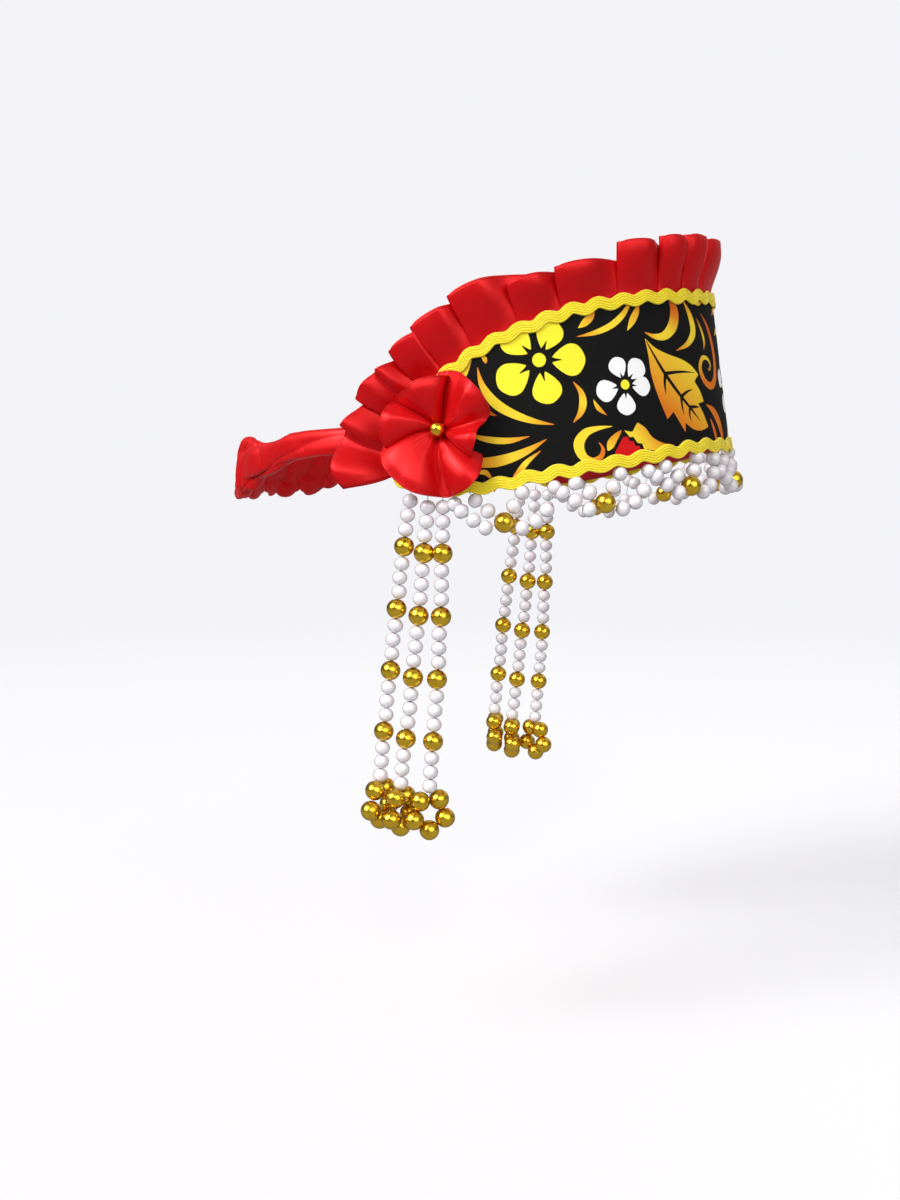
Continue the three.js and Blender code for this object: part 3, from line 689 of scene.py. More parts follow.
def motifs():
    """Every motif as (outline, colour function), in the order in which they are printed."""
    found = []
    for colours, points in SCROLLS:
        outline, line = stroke(points)
        found.append((outline, along_colours(colours, line)))
    leaf_colour = between(GOLD, ORANGE, (-30, 38), (-45, 20))
    found.append((cornered(LEAF, LEAF_TIPS), leaf_colour))
    found.extend((stroke(vein)[0], plain(BLACK)) for vein in VEINS)
    leaf_colour = between(GOLD, ORANGE, (-58, 6), (-50, 12))
    found.append((cornered(BERRY_LEAF, BERRY_LEAF_TIPS), leaf_colour))
    berry = np.array(BERRY)
    middle = berry.mean(axis=0)
    apart = berry - middle
    rim = middle + apart * (1 + BERRY_RIM / np.linalg.norm(apart, axis=1, keepdims=True))
    found.append((rim, plain(BLACK)))
    found.append((berry, plain(RED)))
    for flower in FLOWERS:
        middle = np.array(flower["middle"])
        for degrees, reach in flower["petals"]:
            found.append((spread(PETAL, middle, degrees, reach), plain(flower["colour"])))
        for degrees, reach in flower["petals"]:
            found.append((spread(SPIKE, middle, degrees, reach * flower["spike"]), plain(BLACK)))
        found.append((circle(middle, flower["disc"] + DISC_RIM), plain(BLACK)))
        found.append((circle(middle, flower["disc"]), plain(YELLOW)))
    return found


def within(points, outline):
    """Which points lie inside an outline."""
    a, b = outline, np.roll(outline, -1, axis=0)
    x, y = points[:, :1], points[:, 1:]
    side = (b[:, 0] - a[:, 0]) * (y - a[:, 1]) - (x - a[:, 0]) * (b[:, 1] - a[:, 1])
    up = (a[:, 1] <= y) & (b[:, 1] > y) & (side > 0)
    down = (b[:, 1] <= y) & (a[:, 1] > y) & (side < 0)
    return (up.sum(axis=1) - down.sum(axis=1)) != 0


def cut_sheet(boundary, outlines, spacing):
    """Triangles that fill a boundary in the plane and follow the outlines on it."""
    low, high = boundary.min(axis=0), boundary.max(axis=0)
    columns = np.arange(low[0] + spacing / 2, high[0], spacing)
    rows = np.arange(low[1] + spacing / 2, high[1], spacing)
    grid = np.stack(np.meshgrid(columns, rows), axis=-1).reshape(-1, 2)
    points = list(boundary)
    edges = [(i, (i + 1) % len(boundary)) for i in range(len(boundary))]
    for outline in outlines:
        first = len(points)
        points.extend(outline)
        edges.extend((first + i, first + (i + 1) % len(outline)) for i in range(len(outline)))
    points.extend(grid[within(grid, boundary)])
    flat = [Vector((float(p[0]), float(p[1]))) for p in points]
    verts, _, faces, *_ = delaunay_2d_cdt(flat, edges, [], 0, 1e-4)
    verts = np.array([tuple(v) for v in verts])
    faces = np.array([f for f in faces if len(f) == 3])
    middles = verts[faces].mean(axis=1)
    faces = faces[within(middles, boundary)]
    used = np.unique(faces)
    renumber = np.zeros(len(verts), int)
    renumber[used] = np.arange(len(used))
    return verts[used], renumber[faces]


def resampled(outline):
    count = max(8, int(round_length(outline) / OUTLINE_STEP))
    return evenly(outline, count, closed=True)


PRINT_INSET = 1.8
PRINT_SPACING = 3.0
PRINT_EDGE_STEPS = 700
SECOND_PRINT_FROM = 16  # the second print starts this far along, where the first one ends
WADDING_FROM = 0.4  # how far out the cloth cover starts over the lining
LINING_INSET = 1.75
LINING_SPACING = 2.6
LINING_EDGE_STEPS = 900
LINING_THICKNESS = 0.2
LINING_OUT = 0.14
# The turned edge: how far outside the lining's own edge, and how far out
LINING_TURN = [(0.25, 0.3), (0.32, 1.2), (0.15, 2.3)]
PUCKER = 0.12
LINING_UV_SHIFT = 400  # keeps the satin's hem line off the lining


def band_cover():
    around = np.linspace(0, EDGE_LENGTH, PRINT_EDGE_STEPS, endpoint=False)
    boundary = beside_edge_flat(around, -PRINT_INSET)
    printed = []
    for shift in (0, REPEAT):
        for outline, colour in motifs():
            moved = outline + (shift, 0)
            first, last = moved[:, 0].min(), moved[:, 0].max()
            if first < BAND_HALF and (shift == 0 or last > SECOND_PRINT_FROM):
                printed.append((moved, colour, shift))
    sharp = [o if len(o) < FEW_POINTS else resampled(o) for o, _, _ in printed]
    flat, faces = cut_sheet(boundary, sharp, PRINT_SPACING)
    colours = np.tile(np.array(linear(BLACK)), (len(faces), 3, 1))
    middles = flat[faces].mean(axis=1)
    for outline, (_, colour, shift) in zip(sharp, printed):
        low, high = outline.min(axis=0), outline.max(axis=0)
        near = np.where(np.all((middles >= low) & (middles <= high), axis=1))[0]
        hit = near[within(middles[near], outline)] if len(near) else near
        if len(hit):
            corners = flat[faces[hit]].reshape(-1, 2) - (shift, 0)
            colours[hit] = colour(corners).reshape(-1, 3, 3)
    points = on_head(flat[:, 0], flat[:, 1], BAND_WALL)
    cover = piece("band_print", points, faces, PRINT, ["band"], uv=flat)
    layer = cover.data.color_attributes.new("print", "FLOAT_COLOR", "CORNER")
    alpha = np.ones((len(faces) * 3, 1))
    layer.data.foreach_set("color", np.hstack([colours.reshape(-1, 3), alpha]).ravel())
    thicken(cover, BAND_WALL - WADDING_FROM, -1)


def band_lining():
    """Satin behind the band, turned over its edge so that a thin line of it shows."""
    around = np.linspace(0, EDGE_LENGTH, LINING_EDGE_STEPS, endpoint=False)
    boundary = beside_edge_flat(around, -LINING_INSET)
    flat, faces = cut_sheet(boundary, [], LINING_SPACING)
    along, up = flat[:, 0], flat[:, 1]
    pucker = np.sin(along * 0.61 + 1.3 * np.sin(up * 0.21)) * np.sin(up * 0.37 + along * 0.09)
    turned = [(outside - LINING_INSET, out) for outside, out in LINING_TURN]
    rings = [beside_edge(around, outside, out) for outside, out in turned]
    points = np.concatenate([on_head(along, up, LINING_OUT + PUCKER * pucker), *rings])
    count = len(around)
    hem = grid_faces(len(rings) + 1, count, close_columns=True)
    hem = np.where(hem < count, hem, hem - count + len(flat))
    hem = np.concatenate([hem[:, [0, 1, 2]], hem[:, [0, 2, 3]]])[:, ::-1]
    uv = np.concatenate([flat] + [beside_edge_flat(around, outside) for outside, _ in turned])
    uv = uv + (LINING_UV_SHIFT, 0)
    faces = np.concatenate([faces[:, ::-1], hem])
    lining = piece("band_lining", points, faces, LINING, ["band"], uv=uv)
    thicken(lining, LINING_THICKNESS)


# Rickrack braid: five cords woven side by side, waving once round the edge of the band

BRAID_WIDTH = 4.7
BRAID_WAVE = 0.85
BRAID_PITCH = 11.3
BRAID_THICKNESS = 1.25
BRAID_OVERHANG = 0.4
BRAID_CORDS = 5
BRAID_STEPS = 20  # along one wave


def braid():
    count = round(EDGE_LENGTH / BRAID_PITCH) * BRAID_STEPS
    turn = np.arange(count) * EDGE_LENGTH / count
    phase = 2 * math.pi * np.arange(count) / BRAID_STEPS
    # It drifts a little to both sides of its line, and its waves aren't all of one height
    drift = 0.16 * np.sin(turn * 0.071 + 1) + 0.12 * np.sin(turn * 0.173)
    middle = BRAID_OVERHANG - BRAID_WAVE - BRAID_WIDTH / 2 + drift
    height = BRAID_WAVE * (1 + 0.12 * np.sin(turn * 0.11 + 2)) * np.sin(phase)
    slope = np.gradient(height, EDGE_LENGTH / count)
    across_turn = -slope / np.hypot(1, slope)
    across_out = 1 / np.hypot(1, slope)
    # Its section: rounded cords side by side, lower towards both edges, on a flat underside
    places = np.linspace(-0.5, 0.5, BRAID_CORDS * 5 + 1)
    cords = np.abs(np.cos(math.pi * (places + 0.5) * BRAID_CORDS - math.pi / 2)) ** 0.7
    rim = np.sqrt(np.clip(1 - (2 * places) ** 6, 0, 1))
    tops = 0.32 + (BRAID_THICKNESS - 0.5) * rim * (0.36 + 0.64 * cords)
    shares = np.concatenate([places, places[::-5][1:-1]])
    levels = np.concatenate([tops, np.full(len(shares) - len(places), 0.02)])
    lift = 0.18 * (1 + np.sin(phase * 0.5 + turn * 0.05))[:, None]
    rings = beside_edge(
        turn[:, None] + across_turn[:, None] * shares * BRAID_WIDTH,
        (middle + height)[:, None] + across_out[:, None] * shares * BRAID_WIDTH,
        BAND_WALL + 0.06 + levels * (1 + 0.4 * lift),
    )
    uv = np.stack(np.broadcast_arrays(turn[:, None], shares * BRAID_WIDTH), axis=-1)
    faces = grid_faces(count, len(shares), close_rows=True, close_columns=True)
    made = piece("braid_rickrack", rings, faces, BRAID, ["braid"], uv=uv)


# Pleated ruffle: width of each pleat as a share of an even one, and height as a share of
# RUFFLE_HEIGHT, from the wearer's right end to the left one

RUFFLE_HEIGHT = 21
RUFFLE_REACH = 196
PLEAT_OVERLAP = 9
PLEAT_STEP = 5.5
PLEAT_LEAN = 2.4
RUFFLE_SEAM = -1.75  # how far inside the band's edge it is sewn
SATIN_THICKNESS = 0.28
RUFFLE_ROWS = 30
FACE_STEPS = 26  # along the face of a pleat
FOLD_STEPS = 8  # round one of its folds, and back under it
RUFFLE_OUT = 0.95  # of the layer against the head
LAYER_STEP = 0.42  # between two layers of a pleat at the seam
LAYERS_OPEN = 2.35  # how much further apart they are at the free edge
FLARE = 0.03  # how far the ruffle leans out, for 1 of its height
FLARE_AT_ENDS = 0.27
CURL = 3.8  # how far the loose end pleats roll
# How the loose end pleats roll: place across the pleat's face, and lift of the cloth there
FLOUNCE = [(0, 0), (0.15, 1), (0.34, -0.9), (0.43, 1.1), (0.72, 0.1), (1, 0)]
PLEATS = [
    (1.2, 0.72), (0.87, 0.78), (0.59, 0.83), (0.8, 0.9), (1.04, 0.98), (0.97, 0.74), (1.32, 0.75),
    (1.07, 0.95), (0.8, 0.98), (0.84, 0.99), (1, 0.98), (1.1, 0.97), (1.14, 0.94), (1, 0.8),
    (1.15, 0.84), (1.1, 0.92), (1.12, 0.9), (1, 0.84), (0.9, 0.82), (1.02, 0.8),
]


def pleat_path():
    """The ribbon along the ruffle, as columns: distance round the edge, layer from 0 against the
    head to 2 at the face, half turn of a fold (1 at its tip), height, place on the pleat's face,
    and the number of the pleat."""
    even = (2 * RUFFLE_REACH - PLEAT_OVERLAP) / sum(width for width, _ in PLEATS)
    rows = []
    fold = -RUFFLE_REACH
    for k, (share, high) in enumerate(PLEATS):
        width = share * even
        height = high * RUFFLE_HEIGHT
        after = PLEATS[min(k + 1, len(PLEATS) - 1)][1] * RUFFLE_HEIGHT
        for t in np.linspace(0, 1, FACE_STEPS):
            place = fold + t * (width + PLEAT_OVERLAP)
            low = max(width, PLEAT_OVERLAP + 2.6)
            down = smoothstep(PLEAT_OVERLAP + 0.6, low, place - fold)
            drop = PLEAT_STEP * (0.25 * t + 0.75 * t * t)
            rows.append((place, 2 - 2 * down, 0, height - drop, t, k))
        if k + 1 == len(PLEATS):
            break
        tail = height - PLEAT_STEP
        for angle in np.linspace(0, math.pi, FOLD_STEPS)[1:-1]:
            place = fold + width + PLEAT_OVERLAP
            rows.append((place, 0.5 - 0.5 * math.cos(angle), math.sin(angle), tail, 1, k))
        for t in np.linspace(0, 1, FOLD_STEPS):
            place = fold + width + PLEAT_OVERLAP * (1 - t)
            rows.append((place, 1, 0, tail + (after - tail) * t, 1, k))
        for angle in np.linspace(0, math.pi, FOLD_STEPS)[1:-1]:
            layer = 1.5 - 0.5 * math.cos(angle)
            rows.append((fold + width, layer, -math.sin(angle), after, 0, k + 1))
        fold += width
    return np.array(rows)


def ruffle():
    path = pleat_path()
    place, layer, fold, height, face, number = (path[:, k : k + 1] for k in range(6))
    share = np.linspace(0, 1, RUFFLE_ROWS)[None, :]
    ends = smoothstep(0.5 * RUFFLE_REACH, 0.95 * RUFFLE_REACH, np.abs(place))
    opened = smoothstep(0.05, 0.95, share)
    step = LAYER_STEP + LAYERS_OPEN * opened
    jitter = rng.normal(0, 1, (len(PLEATS), 4))[number[:, 0].astype(int)]
    outside = RUFFLE_SEAM + share * (height - RUFFLE_SEAM)
    # The face of a pleat stands up and swells out between its two folds
    crown = np.sin(math.pi * face**0.65) * (face < 1)
    outside = outside + share**2 * (0.9 * crown + 0.35 * jitter[:, :1])
    flare = FLARE + FLARE_AT_ENDS * ends
    swell = (1.9 - 1.7 * ends + 0.3 * jitter[:, 1:2]) * crown * np.sin(math.pi * 0.62 * share)
    loose = np.isin(number, (0, len(PLEATS) - 1)) + 0.4 * (number == 1)
    swell = swell + CURL * loose * share**0.8 * from_table(FLOUNCE, face, 1) * (face < 1)
    ripple = 0.35 * np.sin(face * 9 + number * 2.1 + share * 2.2) * share * (face < 1)
    out = RUFFLE_OUT + layer * step + np.maximum(outside, 0) * flare + swell + ripple
    turn = place + fold * step * 0.5 + share**1.15 * (PLEAT_LEAN + 0.6 * jitter[:, 2:3])
    turn = turn + 0.5 * np.sin(share * 2.6 + number * 1.7) * share
    points = beside_edge(turn, outside, out)
    ribbon = distances(points[:, RUFFLE_ROWS // 2]) / MM
    from_edge = (1 - share) * (height - RUFFLE_SEAM)
    uv = np.stack(np.broadcast_arrays(from_edge, ribbon[:, None]), axis=-1)
    faces = grid_faces(len(path), RUFFLE_ROWS)
    made = piece("ruffle_satin", points, faces, SATIN, ["ruffle"], uv=uv)
    thicken(made, SATIN_THICKNESS)


# Rosettes: angle clockwise from the top, reach from the bead, and lift of the fold there from -1
# in a crease to 1 on a crest

ROSETTE_ALONG = 137.5
ROSETTE_UP = 13.5
ROSETTE_BEAD = 6.2
ROSETTE_SEAT = 2.5  # of the bead, out from the band
ROSETTE_SECTORS = 300
ROSETTE_RINGS = 46
ROSETTE_OUT = 0.5  # of its middle, from the band
ROSETTE_FLOOR = 0.45  # the lowest that a crease reaches near the middle, from the band
ROSETTE_SWIRL = 0.3
ROSETTE_LEAN = 0.65
ROSETTE_PUCKER = 1.1
RIBBON_WIDTH = 24
ROSETTE_RISE = 6.6
ROSETTE_WAVE = 6.3
ROSETTE_FOLDS = [
    (8, 22.7, -0.75), (24, 23, -0.15), (40, 22.2, 0.75), (55, 21.5, 0.6), (70, 20.7, -0.2),
    (83, 17.9, -0.15), (94, 15.7, 0.5), (105, 16, 0.8), (118, 18, -0.6), (131, 21.6, -0.2),
    (143, 24.6, 0.4), (156, 25.8, 0.1), (169, 26.3, -1), (181, 25.8, -0.7), (196, 24.8, 0.45),
    (214, 23.4, 0.6), (236, 22.6, 0.5), (254, 20.8, -0.3), (266, 19.8, -0.85), (278, 19.6, 0.9),
    (289, 20.2, 0.5), (300, 20.5, -0.6), (311, 20.2, 0), (325, 18.9, 0.6), (338, 20, 0.75),
    (352, 21.4, -1),
]
# Folds that roll over furthest: middle in degrees, and how much more they lean
ROLLS = [(347, 2.2), (111, 1.6), (273, 2)]
ROLL_SPREAD = 14


def rosette(word, side):
    table = np.array(ROSETTE_FOLDS, float)
    wrapped = np.concatenate([table[-3:] - (360, 0, 0), table, table[:3] + (360, 0, 0)])
    sectors, rings = ROSETTE_SECTORS, ROSETTE_RINGS
    degrees = np.arange(sectors) * 360 / sectors
    reach = from_table(wrapped, degrees, 1)[:, None]
    lift = from_table(wrapped, degrees, 2)
    slope = np.gradient(np.concatenate([lift[-1:], lift, lift[:1]]))[1:-1, None]
    lift = lift[:, None]
    share = np.linspace(0.05, 1, rings)[None, :]
    angle = np.radians(degrees)[:, None]
    creases = np.sin(angle * 23 + 2 * np.sin(angle * 3)) + 0.6 * np.sin(angle * 37 + 1)
    swirl = ROSETTE_SWIRL * (1 - share) ** 1.5
    rolls = [more * np.exp(-(((degrees - at) / ROLL_SPREAD) ** 2)) for at, more in ROLLS]
    roll = 1 + sum(rolls)[:, None]
    turned = angle + swirl - ROSETTE_LEAN * slope * share**0.7 * roll
    distance = reach * (share + 0.035 * lift * np.sin(math.pi * share))
    # Near the middle the crests are broad and the creases narrow
    broad = 1 - 2 * ((1 - np.clip(lift, -1, 1)) / 2) ** 1.5
    broad = broad + (lift - broad) * 0.6 * share
    wave = ROSETTE_WAVE * broad * share**0.75 * (1 + 0.15 * share**4)
    body = ROSETTE_RISE * np.sin(math.pi * share * 0.6) ** 0.9
    rim = -0.9 * smoothstep(0.78, 1, share) * (0.5 + 0.5 * lift)
    fine = ROSETTE_PUCKER * creases * share * np.exp(-share * 5.6)
    out = BAND_WALL + ROSETTE_OUT + body + wave + rim + fine
    out = np.maximum(out, BAND_WALL + ROSETTE_FLOOR + 1.4 * smoothstep(0.3, 0.6, share))
    along = side * (ROSETTE_ALONG - np.sin(turned) * distance)
    up = ROSETTE_UP + np.cos(turned) * distance
    points = on_head(along, up, out)
    uv = np.stack(np.broadcast_arrays((1 - share) * reach, angle * RIBBON_WIDTH), axis=-1)
    faces = grid_faces(sectors, rings, close_rows=True).tolist()
    middle = on_head(side * ROSETTE_ALONG, ROSETTE_UP, BAND_WALL + 0.4)
    points = np.concatenate([points.reshape(-1, 3), middle[None]])
    uv = np.concatenate([uv.reshape(-1, 2), [[RIBBON_WIDTH, 0]]])
    faces += [(sectors * rings, i * rings, (i + 1) % sectors * rings) for i in range(sectors)]
    node = "rosette_" + word
    made = piece(node + "_satin", points, faces, SATIN, [node], uv=uv)
    thicken(made, SATIN_THICKNESS)
    seat = BAND_WALL + ROSETTE_SEAT + ROSETTE_BEAD / 2
    place = on_head(side * ROSETTE_ALONG, ROSETTE_UP, seat)
    node = "rosette_bead_" + word
    beads(node + "_gilt", [place], [(0, 0, 1)], BEADS["centre"], [node])


# Beads, along the thread in millimetres

PEARL_LENGTH = 5.6
GOLD_LENGTH = 7.8
BEAD_SIDES = 26
BEAD_ROWS = 15
BEAD_BORE = 0.75
BEAD_DIMPLE = 0.5
BEAD_UNEVEN = 0.008
THREAD_RADIUS = 0.17
THREAD_SIDES = 6
# Kinds of bead: diameter, length, material and slot
BEADS = {
    "pearl": (6, PEARL_LENGTH, PEARL, "pearl"),
    "gold": (8, GOLD_LENGTH, GILT, "gilt"),
    "centre": (ROSETTE_BEAD, ROSETTE_BEAD, GILT, "gilt"),
}


def bead_shape(diameter, length):
    """Points and faces of one bead along z, with the dimple of its bore at both ends."""
    around, rows = BEAD_SIDES, BEAD_ROWS
    start = math.asin(BEAD_BORE / diameter)
    latitude = np.linspace(start, math.pi - start, rows)
    radius = np.concatenate([[0.02], np.sin(latitude) * diameter / 2, [0.02]])
    height = np.cos(latitude) * length / 2
    height = np.concatenate([[height[0] - BEAD_DIMPLE], height, [height[-1] + BEAD_DIMPLE]])
    angle = np.linspace(0, 2 * math.pi, around, endpoint=False)
    ring = np.stack([np.cos(angle), np.sin(angle)], axis=1)
    points = np.concatenate([
        np.hstack([ring * r, np.full((around, 1), h)]) for r, h in zip(radius, height)
    ])
    return points * MM, grid_faces(rows + 2, around, close_columns=True)


def beads(name, centres, axes, kind, replaces):
    """One mesh of many beads, each turned along its axis and a little uneven."""
    diameter, length, material, slot = kind
    shape, faces = bead_shape(diameter, length)
    points, all_faces = [], []
    for centre, axis in zip(centres, axes):
        turn = Vector(axis).to_track_quat("Z", "Y").to_matrix()
        size = 1 + rng.normal(0, BEAD_UNEVEN)
        points.append(np.asarray(centre) + (shape * size) @ np.array(turn).T)
        all_faces.append(faces + len(all_faces) * len(shape))
    piece(name, np.concatenate(points), np.concatenate(all_faces), material, replaces)


def threads(name, lines, replaces):
    """Thin clear threads along lines of points in metres."""
    sides = THREAD_SIDES
    points, faces = [], []
    count = 0
    for line in lines:
        tangent = np.gradient(line, axis=0)
        tangent /= np.linalg.norm(tangent, axis=1, keepdims=True)
        helper = np.where(np.abs(tangent[:, 2:3]) > 0.9, [[1.0, 0, 0]], [[0, 0, 1.0]])
        u = np.cross(tangent, helper)
        u /= np.linalg.norm(u, axis=1, keepdims=True)
        v = np.cross(tangent, u)
        angle = np.linspace(0, 2 * math.pi, sides, endpoint=False)[None, :, None]
        round_line = u[:, None] * np.cos(angle) + v[:, None] * np.sin(angle)
        points.append((line[:, None] + THREAD_RADIUS * MM * round_line).reshape(-1, 3))
        faces.extend((grid_faces(len(line), sides, close_columns=True) + count).tolist())
        faces.append([count + k for k in range(sides)])
        faces.append([count + (len(line) - 1) * sides + k for k in range(sides)][::-1])
        count += len(line) * sides
    piece(name, np.concatenate(points), faces, THREAD, replaces)


def strung(node, centres, axes, lines):
    """The pearls, the gilt beads and the thread that replace one solid."""
    beads(node + "_pearls", centres["pearl"], axes["pearl"], BEADS["pearl"], [node])
    beads(node + "_gilt", centres["gold"], axes["gold"], BEADS["gold"], [node])
    threads(node + "_thread", lines, [node])


# Strands: where each one hangs from, how far back its lower end is, the turn of its loop in
# degrees, and how far its middle bows back

STRAND_GROUPS = 4
PEARLS_IN_GROUP = 3
LOOP_BEADS = 5
LOOP_DROP = 11.1
THREAD_TOP = 2.4  # how far the thread goes on above the first pearl
STRAND_WOBBLE = 0.12
LOOP_WOBBLE = 0.15
STRAND_ROUTES = [
    {"along": 149.3, "up": -13.9, "back": 12.8, "turn": 76, "bow": 0.6},
    {"along": 142.2, "up": -16.2, "back": 11.2, "turn": 74, "bow": -0.8},
    {"along": 136, "up": -16.2, "back": 5.6, "turn": 36, "bow": -1.2},
]


def strand(word, side, number, route):
    node = f"strand_{word}_{number + 1}"
    kinds = (["pearl"] * PEARLS_IN_GROUP + ["gold"]) * STRAND_GROUPS + ["pearl"] * PEARLS_IN_GROUP
    half = {"pearl": PEARL_LENGTH / 2, "gold": GOLD_LENGTH / 2}
    drops = [0.0]
    for first, second in zip(kinds, kinds[1:]):
        drops.append(drops[-1] + half[first] + half[second])
    length = drops[-1]
    top = on_head(side * route["along"], route["up"], BAND_WALL / 2) / MM
    down = np.array([0, route["back"], -math.sqrt(length**2 - route["back"] ** 2)]) / length

    def at(drop):
        share = drop / length
        point = top + down * drop
        point[1] += route["bow"] * 4 * share * (1 - share)
        return point

    centres = {"pearl": [], "gold": []}
    axes = {"pearl": [], "gold": []}
    line = [at(-half["pearl"] - THREAD_TOP)]
    for kind, drop in zip(kinds, drops):
        place = at(drop) + rng.normal(0, STRAND_WOBBLE, 3) * (1, 1, 0)
        axis = at(drop + 1) - at(drop - 1) + rng.normal(0, STRAND_WOBBLE, 3)
        centres[kind].append(place * MM)
        axes[kind].append(axis)
        line.append(place)
    end = at(length)
    middle = end - (0, 0, LOOP_DROP)
    radius = GOLD_LENGTH / 2 / math.sin(math.pi / LOOP_BEADS)
    turn = math.radians(route["turn"])
    level = np.array([side * math.sin(turn), math.cos(turn), 0])
    upright = np.array([0, 0, 1])
    line.append(middle + (0, 0, radius * math.cos(math.pi / LOOP_BEADS)))
    ring = []
    for i in range(LOOP_BEADS):
        angle = (i + 0.5) * 2 * math.pi / LOOP_BEADS
        place = middle + radius * (level * math.sin(angle) + upright * math.cos(angle))
        place = place + rng.normal(0, LOOP_WOBBLE, 3)
        centres["gold"].append(place * MM)
        axes["gold"].append(level * math.cos(angle) - upright * math.sin(angle))
        ring.append(place)
    ring.append(ring[0])
    strung(node, centres, axes, [np.array(line) * MM, np.array(ring) * MM])


# Bead net: places of the beads round each gilt bead, as (along, up) from it

NET_PITCH = 37.6
NET_SCALLOPS = 7
NET_DROP = 11.9
NET_FLARE = math.tan(math.radians(15))
NET_LEFT = [(-15.9, 4.0), (-11.2, 0.8), (-6.3, -2.3)]
NET_RIGHT = [(6.4, -2.2), (11.7, 0.3), (15.9, 4.7)]
NET_HANGER = 9.8  # how far over its gilt beads the net is hung up between two scallops
HANGER_LOWER = 0.9  # the bead there hangs this much lower
NET_WOBBLE = 0.1
NET_INNER_START = (-13.9, 12.3)
NET_INNER_LEFT = [(-10.9, 7.9), (-5.9, 4.1)]
NET_INNER_RIGHT = [(3.5, 6.2), (6.7, 11.2)]


def net_place(middle, shift, rise):
    """A point of the net in metres: shift and rise are from the gilt bead of its scallop."""
    up = lower_edge_at(middle) - NET_DROP + rise
    along = middle + shift
    drop = lower_edge_at(along) - up
    return on_head(along, up, BAND_WALL / 2 - drop * LEAN + np.maximum(drop, 0) * NET_FLARE)


def bead_net():
    centres = {"pearl": [], "gold": []}
    axes = {"pearl": [], "gold": []}
    lines = []
    middles = [(k - (NET_SCALLOPS - 1) / 2) * NET_PITCH for k in range(NET_SCALLOPS)]

    def hanger(along):
        drop = NET_DROP - NET_HANGER
        up = lower_edge_at(along) - drop - HANGER_LOWER
        return on_head(along, up, BAND_WALL / 2 - drop * LEAN + drop * NET_FLARE)

    def hang(line, kinds):
        line = np.array(line)
        tangents = np.gradient(line, axis=0)
        for place, tangent, kind in zip(line, tangents, kinds):
            wobble = rng.normal(0, NET_WOBBLE, 3) * MM
            if kind in centres:
                centres[kind].append(place + wobble)
                axes[kind].append(tangent)
        lines.append(line)

    outer, kinds = [hanger(middles[0] - NET_PITCH / 2)], ["pearl"]
    for middle in middles:
        outer.extend(net_place(middle, *spot) for spot in NET_LEFT)
        outer.append(net_place(middle, 0, 0))
        outer.extend(net_place(middle, *spot) for spot in NET_RIGHT)
        outer.append(hanger(middle + NET_PITCH / 2))
        kinds.extend(["pearl"] * 3 + ["gold"] + ["pearl"] * 3 + ["pearl"])
    hang(outer, kinds)
    for middle in middles:
        inner = [net_place(middle, *spot) for spot in NET_INNER_LEFT]
        inner.append(net_place(middle, 0, 0))
        inner.extend(net_place(middle, *spot) for spot in NET_INNER_RIGHT)
        start = net_place(middle, *NET_INNER_START)
        hang([start] + inner, ["none", "pearl", "pearl", "none", "pearl", "pearl"])
    strung("bead_net", centres, axes, lines)


# Strap: from its flat end sewn inside the band (0) to the middle of the back (1): height and
# middle, and its inner and outer faces, in millimetres

STRAP_START = 150
STRAP_STEPS = 460
STRAP_CORNERS = 72
STRAP_ROUND = 0.72  # how boxy its section is: 1 for an ellipse, towards 0 for a box
RUCHE = 12.6  # distance between two gathers
SMALL_RUCHE = 7.9
STRAP_SECTIONS = [
    (0, 12, 9, -1.9, -0.6), (0.045, 12, 9, -1.9, -0.6), (0.08, 12, 9, -1.8, -0.36),
    (0.16, 11.8, 9, -1.7, 1.8), (0.25, 11.8, 9, -1.2, 4.3), (0.34, 12.4, 8.1, 0, 5.1),
    (0.43, 13.6, 6.3, 0.2, 5.6), (0.51, 14.8, 3.2, 0.2, 6), (0.58, 18, 1.1, 0.2, 6.9),
    (0.65, 24, -0.9, 0.2, 8.7), (0.72, 29, -2.4, 0.2, 9.6), (0.79, 25.2, -2.7, 0.2, 8.4),
    (0.86, 27.6, -3.6, 0.2, 9.6), (0.93, 24, -2.7, 0.2, 8.5), (1, 27, -3.4, 0.2, 9),
]


def boxed(value):
    """A sine or cosine bent so that an ellipse becomes a rounded box."""
    return np.sign(value) * np.abs(value) ** STRAP_ROUND


def folds(phase, sharpness):
    """Rounded folds: 1 on a crest and 0 in the crease between two of them."""
    return np.abs(np.sin(phase)) ** sharpness


